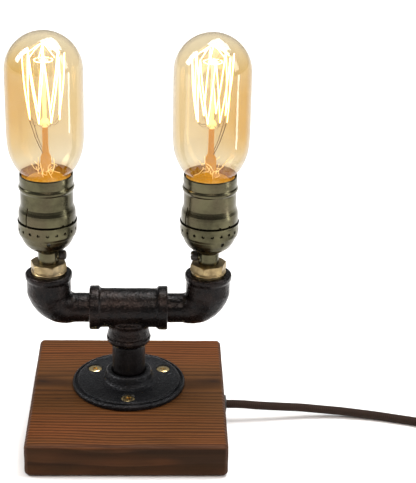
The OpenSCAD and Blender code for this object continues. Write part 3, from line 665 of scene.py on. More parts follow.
def wood_material():
    """Dark stained softwood. The grain ridges are in the mesh and its attributes."""
    M_ = Mat("stained_wood", (0.2, 0.1, 0.05), 0.5, 0.0, Specular_IOR_Level=0.10)
    ring = M_.attr("grain")            # 0 in the brushed valleys, 1 on the hard ridges
    side_shade = M_.attr("side_shade")           # 1 on the sides, the front and the edges: painted shade that darkens them against the top
    knot = M_.attr("knot")
    x, y, z = M_.xyz()
    # straight fibres, long in X
    fib = M_.noise(1.0, 4, 0.65, M_.scaled((26, 1500, 1500)))
    fib2 = M_.noise(1.0, 3, 0.6, M_.scaled((9, 420, 420)))
    slow = M_.noise(1.0, 3, 0.55, M_.scaled((14, 45, 45)))
    red = M_.noise(1.0, 2, 0.5, M_.scaled((6, 22, 22), loc=(3, 1, 7)))
    light = M_.mix(M_.span(red, 0.38, 0.62), (0.112, 0.0425, 0.0115), (0.143, 0.0450, 0.0115))
    dark = M_.mix(M_.span(red, 0.38, 0.62), (0.022, 0.0076, 0.0024), (0.028, 0.0084, 0.0024))
    f = M_.math("ADD", M_.math("MULTIPLY", M_.span(ring, 0.04, 0.48), 0.74), M_.math("MULTIPLY", M_.span(fib, 0.32, 0.68), 0.26))
    f = M_.math("MULTIPLY", f, M_.span(slow, 0.25, 0.6, 0.82, 1.0))
    c = M_.mix(f, dark, light)
    mid_zone = M_.math("MULTIPLY", M_.span(y, -0.040, -0.022, 0.0, 1.0), M_.span(y, 0.052, 0.034, 0.0, 1.0))
    c = M_.mix(M_.math("MULTIPLY", mid_zone, 0.38), c, (0.062, 0.028, 0.008))
    c = M_.mix(M_.span(fib2, 0.45, 0.75, 0.0, 0.22), c, (0.050, 0.022, 0.006))
    c = M_.mix(M_.math("MULTIPLY", knot, 0.85), c, (0.0125, 0.0060, 0.0038))
    # painted shade: the sides and the front are darker than the top
    c = M_.mix(M_.math("MULTIPLY", side_shade, 0.9),
               c, M_.mix(M_.span(fib2, 0.35, 0.65), (0.016, 0.0065, 0.0018), (0.026, 0.0115, 0.0030)))
    edge = M_.attr("worn")
    c = M_.mix(M_.math("MULTIPLY", edge, M_.span(slow, 0.3, 0.6, 0.45, 0.95)), c,
               M_.mix(M_.span(fib, 0.4, 0.65), (0.030, 0.013, 0.007), (0.072, 0.034, 0.020)))
    pores = M_.span(M_.noise(1.0, 2, 0.5, M_.scaled((120, 2600, 2600))), 0.62, 0.72, 0.0, 0.5)
    c = M_.mix(pores, c, (0.012, 0.005, 0.0025))
    M_.set("Base Color", c)
    M_.set("Roughness", M_.span(f, 0.0, 1.0, 0.68, 0.5))
    h = M_.math("ADD", M_.math("MULTIPLY", fib, 0.7), M_.math("MULTIPLY", ring, 0.3))
    M_.set("Normal", M_.bump(h, 0.00022, 0.7))
    return M_.m


WOOD = wood_material()


def braid_material():
    """Textile braid. u runs once round the cord, v along it in millimetres."""
    M_ = Mat("cord_braid", (0.05, 0.03, 0.02), 0.75, 0.0, Sheen_Weight=0.03, Sheen_Roughness=0.5,
             Specular_IOR_Level=0.16)
    M_.set("Sheen Tint", (0.55, 0.42, 0.32))
    uv = M_.node("ShaderNodeTexCoord").outputs["UV"]
    u, v, _ = M_.xyz(uv)
    carriers = 8.0
    pitch = 11.0                       # mm for a strand to go once round
    ph = M_.math("MULTIPLY", u, carriers)
    sh = M_.math("MULTIPLY", v, carriers / pitch)
    a = M_.math("FRACT", M_.math("ADD", ph, sh))
    b = M_.math("FRACT", M_.math("SUBTRACT", ph, sh))
    ra = M_.math("SINE", M_.math("MULTIPLY", a, math.pi))
    rb = M_.math("SINE", M_.math("MULTIPLY", b, math.pi))
    over = M_.math("GREATER_THAN", M_.math("SINE", M_.math("MULTIPLY", M_.math("MULTIPLY", ph, 1.0), 2 * math.pi)), 0.0)
    h = M_.mixf(over, ra, rb)
    yarn = M_.noise(1.0, 3, 0.6, M_.scaled((90, 1.6, 1), src=uv))
    tone = M_.noise(30, 4, 0.6)
    thread = M_.noise(2600, 2, 0.6)
    # painted shade: darker in the gaps between strands, lighter on the strand crests
    c = M_.mix(M_.span(h, 0.15, 0.95), (0.0035, 0.0018, 0.0012), (0.026, 0.0125, 0.0075))
    c = M_.mix(M_.span(tone, 0.35, 0.7, 0.0, 0.45), c, (0.017, 0.0080, 0.0048))
    c = M_.mix(M_.span(yarn, 0.45, 0.75, 0.0, 0.35), c, (0.044, 0.0235, 0.0150))
    M_.set("Base Color", c)
    M_.set("Roughness", M_.span(thread, 0.3, 0.7, 0.6, 0.85))
    hh = M_.math("ADD", M_.math("MULTIPLY", h, 0.75), M_.math("MULTIPLY", thread, 0.25))
    M_.set("Normal", M_.bump(hh, 0.00030, 0.8))
    return M_.m


BRAID = braid_material()


def strap_material():
    M_ = Mat("tie_fabric", (0.015, 0.015, 0.016), 0.8, 0.0, Sheen_Weight=0.4, Sheen_Roughness=0.5)
    loops = M_.voronoi(2600)
    weave = M_.noise(1800, 3, 0.6)
    M_.set("Base Color", M_.mix(M_.span(loops, 0.1, 0.6), (0.030, 0.030, 0.032), (0.009, 0.009, 0.010)))
    M_.set("Roughness", M_.span(weave, 0.3, 0.7, 0.7, 0.95))
    M_.set("Normal", M_.bump(M_.math("ADD", loops, weave), 0.00025, 0.9))
    return M_.m


STRAP = strap_material()


def glass_material():
    """Amber-coated bulb glass, as a tinted film with a clear reflection."""
    m_ = bpy.data.materials.new("amber_glass")
    m_.use_nodes = True
    t = m_.node_tree
    t.nodes.clear()
    new, link = t.nodes.new, t.links.new
    out = new("ShaderNodeOutputMaterial")
    tc = new("ShaderNodeTexCoord")
    sep = new("ShaderNodeSeparateXYZ")
    link(tc.outputs["Object"], sep.inputs[0])
    lw = new("ShaderNodeLayerWeight")
    lw.inputs["Blend"].default_value = 0.5
    nz = new("ShaderNodeTexNoise")
    nz.inputs["Scale"].default_value = 28
    nz.inputs["Detail"].default_value = 3
    link(tc.outputs["Object"], nz.inputs["Vector"])
    # coating is strongest round the middle of the bulb, thin at the crown and the neck
    up = new("ShaderNodeMapRange")
    up.interpolation_type = "SMOOTHSTEP"
    link(sep.outputs[2], up.inputs[0])
    up.inputs["From Min"].default_value = 0.262
    up.inputs["From Max"].default_value = 0.222
    dn = new("ShaderNodeMapRange")
    dn.interpolation_type = "SMOOTHSTEP"
    link(sep.outputs[2], dn.inputs[0])
    dn.inputs["From Min"].default_value = 0.170
    dn.inputs["From Max"].default_value = 0.205
    band = new("ShaderNodeMath")
    band.operation = "MULTIPLY"
    link(up.outputs[0], band.inputs[0])
    link(dn.outputs[0], band.inputs[1])
    # painted shade: the outer half of each bulb is tinted a deeper amber
    ax = new("ShaderNodeMath")
    ax.operation = "ABSOLUTE"
    link(sep.outputs[0], ax.inputs[0])
    side = new("ShaderNodeMapRange")
    side.interpolation_type = "SMOOTHSTEP"
    link(ax.outputs[0], side.inputs[0])
    side.inputs["From Min"].default_value = 0.040
    side.inputs["From Max"].default_value = 0.072
    side.inputs["To Min"].default_value = 0.38
    side.inputs["To Max"].default_value = 1.0
    amt = new("ShaderNodeMath")
    amt.operation = "MULTIPLY"
    link(band.outputs[0], amt.inputs[0])
    link(side.outputs[0], amt.inputs[1])
    var = new("ShaderNodeMapRange")
    link(nz.outputs["Fac"], var.inputs[0])
    var.inputs["From Min"].default_value = 0.35
    var.inputs["From Max"].default_value = 0.65
    var.inputs["To Min"].default_value = 0.75
    var.inputs["To Max"].default_value = 1.1
    amt2 = new("ShaderNodeMath")
    amt2.operation = "MULTIPLY"
    amt2.use_clamp = True
    link(amt.outputs[0], amt2.inputs[0])
    link(var.outputs[0], amt2.inputs[1])
    clear = new("ShaderNodeMix")
    clear.data_type = "RGBA"
    link(amt2.outputs[0], clear.inputs[0])
    clear.inputs[6].default_value = (0.730, 0.678, 0.560, 1)
    clear.inputs[7].default_value = (0.645, 0.470, 0.190, 1)
    rim = new("ShaderNodeMapRange")
    link(lw.outputs["Facing"], rim.inputs[0])
    rim.inputs["From Min"].default_value = 0.50
    rim.inputs["From Max"].default_value = 1.0
    tint = new("ShaderNodeMix")
    tint.data_type = "RGBA"
    link(rim.outputs[0], tint.inputs[0])
    link(clear.outputs[2], tint.inputs[6])
    tint.inputs[7].default_value = (0.56, 0.515, 0.44, 1)
    tr = new("ShaderNodeBsdfTransparent")
    link(tint.outputs[2], tr.inputs[0])
    gl = new("ShaderNodeBsdfGlossy")
    gl.inputs["Roughness"].default_value = 0.035
    gl.inputs["Color"].default_value = (0.95, 0.95, 0.95, 1)
    fr = new("ShaderNodeMapRange")
    fr.interpolation_type = "SMOOTHERSTEP"
    link(lw.outputs["Facing"], fr.inputs[0])
    fr.inputs["From Min"].default_value = 0.45
    fr.inputs["From Max"].default_value = 1.0
    fr.inputs["To Min"].default_value = 0.055
    fr.inputs["To Max"].default_value = 0.32
    mx = new("ShaderNodeMixShader")
    link(fr.outputs[0], mx.inputs[0])
    link(tr.outputs[0], mx.inputs[1])
    link(gl.outputs[0], mx.inputs[2])
    # painted glow: the neck gives off its own light, in ribs that run up from the cap
    ring = new("ShaderNodeMapping")
    ring.inputs["Scale"].default_value = (900, 900, 40)
    link(tc.outputs["Object"], ring.inputs["Vector"])
    rib = new("ShaderNodeTexNoise")
    rib.inputs["Scale"].default_value = 1.0
    link(ring.outputs[0], rib.inputs["Vector"])
    ribc = new("ShaderNodeMix")
    ribc.data_type = "RGBA"
    ribr = new("ShaderNodeMapRange")
    link(rib.outputs["Fac"], ribr.inputs[0])
    ribr.inputs["From Min"].default_value = 0.38
    ribr.inputs["From Max"].default_value = 0.66
    link(ribr.outputs[0], ribc.inputs[0])
    ribc.inputs[6].default_value = (0.72, 0.24, 0.015, 1)
    ribc.inputs[7].default_value = (1.0, 0.55, 0.10, 1)
    em = new("ShaderNodeEmission")
    link(ribc.outputs[2], em.inputs[0])
    em.inputs[1].default_value = 0.82
    nk = new("ShaderNodeMapRange")
    nk.interpolation_type = "SMOOTHSTEP"
    link(sep.outputs[2], nk.inputs[0])
    nk.inputs["From Min"].default_value = 0.1745
    nk.inputs["From Max"].default_value = 0.1690
    nk.inputs["To Max"].default_value = 0.62
    mx2 = new("ShaderNodeMixShader")
    link(nk.outputs[0], mx2.inputs[0])
    link(mx.outputs[0], mx2.inputs[1])
    link(em.outputs[0], mx2.inputs[2])
    link(mx2.outputs[0], out.inputs[0])
    return m_


GLASS = glass_material()


def glow(name, color, strength, base=(0.8, 0.5, 0.2), rough=0.4, vary=0.25, scale=500, metal=0.0):
    M_ = Mat(name, base, rough, metal)
    n = M_.noise(scale, 3, 0.6)
    c = M_.mix(M_.span(n, 0.35, 0.7, 0.0, vary), color, tuple(x * 0.6 for x in color))
    M_.set("Emission Color", c)
    M_.set("Emission Strength", strength)
    M_.set("Roughness", M_.span(n, 0.3, 0.7, max(0.05, rough - 0.1), rough + 0.1))
    M_.set("Normal", M_.bump(n, 0.00003, 0.5))
    return M_.m


FILAMENT = glow("filament_wire", (1.0, 0.74, 0.36), 13.0, (0.9, 0.7, 0.4), 0.5, 0.2, 700)
# painted glow: the bead, the stem, the press glints and the flare give off light of their own; only the filament is a
# lamp
BEAD_GLOW = glow("support_bead_glow", (1.0, 0.80, 0.45), 1.3, (0.9, 0.8, 0.6), 0.2, 0.2, 300)
STEM_GLOW = glow("stem_glass", (1.0, 0.50, 0.045), 0.80, (0.20, 0.08, 0.01), 0.3, 0.6, 330)
GLINT = glow("press_glints", (1.0, 0.74, 0.36), 1.1, (0.9, 0.7, 0.4), 0.15, 0.6, 900)
FLARE_GLOW = glow("flare_glass_glow", (1.0, 0.50, 0.028), 0.57, (0.25, 0.11, 0.01), 0.3, 0.8, 420)


# =====================================================================
# Cord: one flex from the grommet through the switch and the coil
# =====================================================================

CORD_D = 5.6
lead = [(62.2, 0, 11.3), (64.3, 0, 11.3), (70, 0, 11.3), (77, 0.1, 10.9), (84, 0.4, 10.1),
        (99, 1.5, 8.6), (114, 3, 7), (128, 3.4, 5.4), (141, 3, 4.3), (154, 1.5, 3.4),
        (166.5, -1, 3), (175, -3.4, 2.9), (184, -6, 2.9), (190, -8, 3), (198, -11.3, 4.6),
        (206.05, -14.37, 7.5)]
SWC, SWA, SWZ = (238.0, -26.0), math.radians(-20), 7.5
through = [(SWC[0] + t * math.cos(SWA), SWC[1] + t * math.sin(SWA), SWZ)
           for t in (-24, -12, 0, 12, 24)]
feed = [(269.95, -37.63, 7.5), (276, -39.2, 5.4), (283, -38.6, 3.4), (289.5, -35.8, 2.9),
        (295, -31.6, 2.9), (299.5, -26, 2.9), (302, -19.5, 2.9), (303, -11, 2.9),
        (302.5, 0, 2.9), (300.5, 12, 3.1), (298.7, 23, 3.4)]
COIL = (256.0, 36.0)
SLOTS = [41.55, 35.85, 30.15, 24.45, 30.15, 35.85, 41.55]


def winding():
    """Seven turns in two layers: inwards on the table, up, and outwards on top."""
    pts = []
    per = 48
    for i, r in enumerate(SLOTS):
        nxt = SLOTS[i + 1] if i + 1 < len(SLOTS) else r
        for k in range(per):
            ph = 2 * math.pi * k / per
            t = (math.degrees(ph) - 210) / 150
            s = 0.0 if t <= 0 else 0.5 - 0.5 * math.cos(math.pi * min(1, t))
            rr = r + (nxt - r) * s
            if i < 3:
                z = 3.6
            elif i == 3:
                q = min(1.0, math.degrees(ph) / 205)
                z = 3.6 + 5.7 * (0.5 - 0.5 * math.cos(math.pi * q))
            else:
                z = 9.3
            pts.append((COIL[0] + rr * math.cos(ph), COIL[1] + rr * math.sin(ph), z))
    pts.append((COIL[0] + SLOTS[-1], COIL[1], 9.3))
    return pts


tail = [(298.04, 42, 9.25), (299.55, 47, 9.15), (301.06, 52, 9.05), (301.55, 57, 9.0),
        (301.55, 62, 9.0)]
cord_path = even(spline(lead + through + feed + winding() + tail, 1.2), 1.3)


def cord_mesh(path, name):
    seg = 20
    n = len(path)
    s = np.r_[0, np.cumsum(np.linalg.norm(np.diff(path, axis=0), axis=1))]
    t, u, v = frames_along(path)
    r0 = CORD_D / 2
    verts = []
    for i in range(n):
        for k in range(seg):
            a = 2 * math.pi * k / seg
            bump = 0.025 * math.cos(8 * a + s[i] * 8 * 2 * math.pi / 11.0 / 2) \
                + 0.025 * math.cos(8 * a - s[i] * 8 * 2 * math.pi / 11.0 / 2)
            r = r0 - 0.05 + bump
            verts.append(path[i] + r * (u[i] * math.cos(a) + v[i] * math.sin(a)))
    faces, uv = [], []
    for i in range(n - 1):
        for k in range(seg):
            k2 = (k + 1) % seg
            faces.append((i * seg + k, i * seg + k2, (i + 1) * seg + k2, (i + 1) * seg + k))
            uv += [(k / seg, s[i]), ((k + 1) / seg, s[i]), ((k + 1) / seg, s[i + 1]), (k / seg, s[i + 1])]
    faces.append(tuple(range(seg))[::-1])
    uv += [(0.5, 0.0)] * seg
    faces.append(tuple((n - 1) * seg + k for k in range(seg)))
    uv += [(0.5, s[-1])] * seg
    return mk(name, verts, faces, BRAID, None, uv)


cord = cord_mesh(cord_path, "supply_cord")
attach(cord, "base")
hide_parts("cord_lead", "cord_feed", "cord_coil", "cord_tail")


# =====================================================================
# Wooden block
# =====================================================================

def grain_field(p):
    """Annual rings round a centre far below the block, drawn out along X."""
    x, y, z = p
    wob = noise.noise(Vector((x * 0.012, y * 0.03, z * 0.03 + 4))) * 3.2
    wob += noise.noise(Vector((x * 0.03 + 9, y * 0.10, z * 0.10))) * 0.7
    # rings bend round the knots near the two ends
    for kx, ky in ((-60, 11), (59, 12)):
        d2 = ((x - kx) / 20) ** 2 + ((y - ky) / 7) ** 2
        wob += 1.7 * math.exp(-d2) * (1 if y > ky else -1) * min(1, abs(y - ky) / 4)
    yy = y - 8 + wob
    rr = math.sqrt(yy * yy + 16 * 16)
    ph = rr / 3.15 + (22.6 - z) * 0.105 + 0.45 * noise.noise(Vector((x * 0.008, rr * 0.16, 7)))
    f = ph - math.floor(ph)
    # soft early wood rises slowly, hard late wood ends sharply
    return f ** 1.5 if f < 0.86 else (1 - f) / 0.14 * 0.8


def make_block():
    w, d, h, r = 125.5, 141.0, 22.6, 3.0
    verts, faces = rounded_box(w, d, h, r, nx=100, ny=270, nz=34, arc=5)
    out = verts.copy()
    lim = np.array((w / 2 - r, d / 2 - r, h / 2 - r))
    grain = np.zeros(len(verts), np.float32)
    side_shade = np.zeros(len(verts), np.float32)
    knot = np.zeros(len(verts), np.float32)
    worn = np.zeros(len(verts), np.float32)
    for i, p in enumerate(verts):
        q = p - np.array((0, 0, h / 2))
        g = grain_field(p)
        nrm = q - np.clip(q, -lim, lim)
        nl = np.linalg.norm(nrm)
        nrm = nrm / nl if nl > 1e-9 else np.array((0, 0, 1.0))
        face = float(np.max(np.abs(nrm)))
        edge = 1.0 - (face - 0.58) / 0.42 if face < 0.999 else 0.0
        edge = min(1.0, max(0.0, edge) * 1.6)
        broad = noise.noise(Vector((p[0] * 0.05, p[1] * 0.05, p[2] * 0.09)))
        chip = noise.noise(Vector((p[0] * 0.22, p[1] * 0.22, p[2] * 0.3)))
        depth = 0.26 * (1 - g) * (1 - 0.6 * edge)
        if abs(nrm[0]) > 0.7:
            depth *= 0.5
        if nrm[2] < -0.5:
            depth *= 0.2
        if nrm[1] < -0.7 or nrm[1] > 0.7:
            depth *= 0.55
        depth += edge * (0.30 + 0.45 * max(0, broad) + 0.35 * max(0, chip))
        out[i] = p - nrm * depth
        grain[i] = g
        # painted shade: faces that do not face up are marked here for darkening
        top = max(0.0, nrm[2])
        side_shade[i] = min(1.0, max(0.0, 1 - top * 1.6)) * (0.86 + 0.14 * max(-1, min(1, broad * 2)))
        worn[i] = edge
        kk = 0.0
        for kx, ky, sx, sy, s in ((-60, 10, 17, 5.5, 1.0), (57, 11, 13, 4.2, 0.9), (60, 20, 9, 3, 0.5),
                                  (-45, -13, 2.2, 1.1, 0.8), (-40, 22, 12, 3, 0.35),
                                  (20, -62, 9, 1.6, 0.45)):
            kk += s * math.exp(-((p[0] - kx) / sx) ** 2 - ((p[1] - ky) / sy) ** 2)
        kk *= 0.75 + 0.5 * noise.noise(Vector((p[0] * 0.15, p[1] * 0.4, 3)))
        if nrm[1] < -0.6:      # a darker streak runs down the front face to the right
            line = 21.0 - 15.5 * min(1.0, max(0.0, (p[0] + 22) / 78))
            kk = 0.85 * min(1.0, max(0.0, (p[2] - line + 2.5 * broad) / 4.0)) * min(1.0, max(0.0, (21.5 - p[2]) / 2.0) + 0.35)
        knot[i] = min(1.0, kk)
    ob = mk("wood_block", out, faces, WOOD, None)
    me = ob.data
    for nm, arr in (("grain", grain), ("side_shade", side_shade), ("knot", knot), ("worn", worn)):
        at = me.attributes.new(nm, "FLOAT", "POINT")
        at.data.foreach_set("value", arr)
    cuts = [box_raw(-50, 50, -20.5, 23.5, -2, 2), box_raw(-42, 42, -12, 15, 1, 15.2)]
    boolean(ob, cuts[0], sharp=50)
    boolean(ob, cuts[1], sharp=50)
    hole = lathe([(0, 38), (3.2, 38), (3.2, 53.6), (4.0, 53.6), (4.0, 70), (0, 70)], 40, closed=False)
    boolean(ob, (move(hole[0], T(0, 0, 11.3) @ R("Y", 90)), hole[1]), sharp=50)
    up = cyl(6.0, 12, 40, 14)
    boolean(ob, (move(up[0], T(0, YC, 0)), up[1]), sharp=50)
    set_mat(ob, WOOD)
    return ob


block = make_block()
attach(block, "base")
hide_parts("base_block")


# =====================================================================
# Floor flange, riser and tee
# =====================================================================

FZ = 26.9


def make_flange():
    prof = fillet([(10.6, 22.6, 0), (36.2, 22.6, 0.4), (36.8, 23.3, 0.4), (36.8, 25.0, 0.8),
                   (36.1, 26.0, 0.5), (35.2, 26.15, 0.3), (34.7, 25.0, 0.2), (33.9, 25.1, 0.2),
                   (33.4, 26.7, 0.4), (32.3, 27.0, 0.5), (31.4, 26.75, 0.5), (18.2, 26.7, 1.2), (16.4, 27.5, 1.4),
                   (15.5, 29.0, 1.2), (15.1, 31.4, 0.8), (14.8, 33.0, 0.7), (13.9, 34.0, 0.5),
                   (12.6, 34.05, 0.5), (11.4, 33.7, 0.4), (10.7, 33.0, 0.3)], 0.5, 4)
    # finer rings on the wide flat, so that casting lumps have vertices to stand on
    dense = []
    for i, p in enumerate(prof):
        q = prof[(i + 1) % len(prof)]
        L = math.dist(p, q)
        n = max(1, int(L / 0.75))
        for k in range(n):
            dense.append((p[0] + (q[0] - p[0]) * k / n, p[1] + (q[1] - p[1]) * k / n))
    v, f = lathe(dense, 240)
    v = move(v, T(0, YC, 0))
    ob = mk("flange_casting", v, f, FLANGE_IRON, 40)
    for a in (-90, 30, 150):
        hx, hy = 26 * math.cos(math.radians(a)), YC + 26 * math.sin(math.radians(a))
        c = lathe([(0, 20), (2.4, 20), (2.4, 23.7), (4.75, 26.1), (4.95, 26.5), (5.1, 27.1), (5.6, 28),
                   (0, 28)], 56, closed=False)
        boolean(ob, (move(c[0], T(hx, hy, 0)), c[1]), sharp=40)
    co = coords(ob)
    rad = np.hypot(co[:, 0], co[:, 1] - YC)
    top = (co[:, 2] > 26.2) & (rad < 34) & (rad > 17)
    near = np.ones(len(co))
    for a in (-90, 30, 150):
        hx, hy = 26 * math.cos(math.radians(a)), YC + 26 * math.sin(math.radians(a))
        near *= np.clip((np.hypot(co[:, 0] - hx, co[:, 1] - hy) - 5.0) / 1.5, 0, 1)
    low = np.clip((co[:, 2] - 22.7) / 0.8, 0, 1)
    flat = np.clip((rad - 18.5) / 1.5, 0, 1) * np.clip((31.8 - rad) / 1.2, 0, 1)
    roughen(ob, [(2.2, 0.20), (1.0, 0.09), (7.0, 0.10)], 3.0, near * low * (0.12 + 0.88 * flat))
    set_mat(ob, FLANGE_IRON)
    return mark_edges(ob)


flange = make_flange()
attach(flange, "base")
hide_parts("floor_flange")


def make_wood_screws():
    parts = []
    for i, a in enumerate((-90, 30, 150)):
        hx, hy = 26 * math.cos(math.radians(a)), YC + 26 * math.sin(math.radians(a))
        prof = fillet([(0, -15, 0), (1.45, -13.6, 0.2), (1.5, -3.0, 0.3), (4.3, -0.35, 0.15),
                       (4.35, -0.05, 0.12), (3.2, 0.25, 1.2), (0, 0.42, 0)], 0.2, 4, closed=False)
        ob = mk("s", *lathe(prof, 64, closed=False), SCREW_BRASS, 40)
        # cross recess with slanting sides
        for b in (0, 90):
            wv, wf = box_raw(-2.5, 2.5, -0.55, 0.55, -2.2, 1)
            wv[:, 1] *= np.where(wv[:, 2] < 0, 0.55, 1.0)
            wv[:, 0] *= np.where(wv[:, 2] < 0, 0.35, 1.0)
            boolean(ob, (move(wv, R("Z", b)), wf), sharp=30)
        co = move(coords(ob), T(hx, hy, 26.25 if i else 26.0) @ R("Z", (28, 12, 50)[i]) @ R("X", (3, -2, 2)[i]))
        set_coords(ob, co)
        parts.append(ob)
    return merge(parts, "flange_wood_screws", SCREW_BRASS)


def merge(obs, name, mat=None, sharp=None):
    """Several mesh objects into one piece."""
    bm = bmesh.new()
    mats = []
    for o in obs:
        base = len(mats)
        for s in o.data.materials:
            mats.append(s)
        tmp = o.data.copy()
        tmp.transform(o.matrix_world)
        start = len(bm.faces)
        bm.from_mesh(tmp)
        bm.faces.ensure_lookup_table()
        for fc in bm.faces[start:]:
            fc.material_index += base
        bpy.data.meshes.remove(tmp)
    me = bpy.data.meshes.new(name)
    bm.to_mesh(me)
    bm.free()
    for s in mats:
        me.materials.append(s)
    for o in obs:
        d = o.data
        bpy.data.objects.remove(o)
        bpy.data.meshes.remove(d)
    ob = bpy.data.objects.new(name, me)
    SCENE.collection.objects.link(ob)
    if mat is not None:
        for fc in me.polygons:
            fc.material_index = 0
        me.materials.clear()
        me.materials.append(mat)
    if sharp is not None:
        finish_shading(ob, sharp)
    return ob


wood_screws = mark_edges(make_wood_screws(), 1)
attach(wood_screws, "base")
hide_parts("flange_screws")


def make_riser():
    prof = [(7.9, 24.2, 0.3), (10.2, 24.2, 0.2)]
    z = 24.7
    while z < 33.0:
        prof += [(10.35, z, 0.1), (10.0, z + 0.6, 0.1)]
        z += 1.2
    prof += [(10.35, 33.6, 0.2), (10.62, 34.3, 0.2), (10.65, 36, 0.5), (10.65, 52.4, 0.5), (10.3, 53.2, 0.2)]
    z = 53.8
    while z < 61.0:
        prof += [(10.35, z, 0.1), (10.0, z + 0.6, 0.1)]
        z += 1.2
    prof += [(10.1, 62.2, 0.2), (7.9, 62.2, 0.3)]
    dense = []
    fp = fillet(prof, 0.2, 2)
    for i, p in enumerate(fp):
        q = fp[(i + 1) % len(fp)]
        n = max(1, int(math.dist(p, q) / 1.0)) if p[0] > 10.6 and q[0] > 10.5 else 1
        dense += [(p[0] + (q[0] - p[0]) * k / n, p[1] + (q[1] - p[1]) * k / n) for k in range(n)]
    v, f = lathe(dense, 120)
    ob = mk("riser_pipe", move(v, T(0, YC, 0)), f, PIPE_IRON, 30)
    co = coords(ob)
    body = np.clip((co[:, 2] - 34.5) / 1.0, 0, 1) * np.clip((52.6 - co[:, 2]) / 1.0, 0, 1)
    roughen(ob, [(4.0, 0.05), (1.2, 0.025)], 5.0, body)
    return mark_edges(ob)


riser = make_riser()
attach(riser, "base")
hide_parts("riser_nipple")


def make_tee():
    Lh = 25.0
    run = fillet([(0, -Lh, 0), (13.6, -Lh, 0.5), (14.15, -Lh + 0.6, 0.5), (14.15, -Lh + 5.9, 0.6),
                  (13.4, -Lh + 6.6, 0.4), (12.65, -Lh + 7.0, 0.5), (12.65, 0, 0), (12.65, Lh - 7.0, 0.5),
                  (13.4, Lh - 6.6, 0.4), (14.15, Lh - 5.9, 0.6), (14.15, Lh - 0.6, 0.5),
                  (13.6, Lh, 0.5), (0, Lh, 0)], 0.4, 3, closed=False)
    v, f = lathe(run, 96, closed=False)
    ob = mk("tee_casting", move(v, T(0, YC, AX) @ R("Y", 90)), f, IRON, 40)
    br = fillet([(0, 0, 0), (11.2, 0, 0.6), (12.6, 0.9, 1.2), (13.9, 2.6, 1.4), (14.35, 4.4, 1.0),
                 (14.2, 5.3, 0.4), (13.2, 5.75, 0.2), (12.9, 6.1, 0.15), (13.6, 6.45, 0.2),
                 (13.85, 7.0, 0.5), (13.3, 9.0, 1.5), (12.6, 11.5, 2.0), (12.5, 14.0, 1.0),
                 (13.8, 17.0, 1.0), (0, 20.5, 0)], 0.4, 3, closed=False)
    v, f = lathe(br, 96, closed=False)
    boolean(ob, (move(v, T(0, YC, AX - Lh)), f), "UNION")
    c = cyl(8.9, 2 * Lh + 4, 64, -Lh - 2)
    boolean(ob, (move(c[0], T(0, YC, AX) @ R("Y", 90)), c[1]))
    for s in (-1, 1):
        c = lathe([(0, -2), (11.4, -2), (11.4, 0), (10.75, 0.8), (10.6, 13.5), (0, 13.5)], 64, closed=False)
        boolean(ob, (move(c[0], T(s * Lh, YC, AX) @ R("Y", -90 * s)), c[1]))
    c = lathe([(0, -2), (11.2, -2), (11.2, 0), (10.8, 0.8), (10.8, 10.6), (8.9, 11.5), (8.9, 24), (0, 24)], 64, closed=False)
    boolean(ob, (move(c[0], T(0, YC, AX - Lh)), c[1]))
    remesh(ob, 0.42)
    relax(ob, 3)
    co = coords(ob)
    dr = np.abs(np.hypot(co[:, 1] - YC, co[:, 2] - AX) - 12.65)
    db = np.abs(np.hypot(co[:, 0], co[:, 1] - YC) - 12.6)
    w = np.clip(1 - dr / 3.0, 0, 1) * np.clip(1 - db / 3.0, 0, 1)
    w *= (co[:, 2] < AX - 2) & (np.abs(co[:, 0]) < 17)
    relax(ob, 40, np.clip(w * 2, 0, 1))
    co = coords(ob)
    bore = np.minimum(np.abs(np.hypot(co[:, 1] - YC, co[:, 2] - AX)), 99)
    mask = np.clip((bore - 11.6) / 0.6, 0, 1)
    low = co[:, 2] < AX - 13
    mask[low] = np.clip((np.hypot(co[low, 0], co[low, 1] - YC) - 11.6) / 0.6, 0, 1)
    roughen(ob, [(3.2, 0.11), (1.1, 0.055), (9.0, 0.12)], 11.0, mask)
    finish_shading(ob, None)
    set_mat(ob, IRON)
    return mark_edges(ob, 3, 0.04, 0.30)


tee = make_tee()
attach(tee, "base")
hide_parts("pipe_tee")


# =====================================================================
# Arms
# =====================================================================

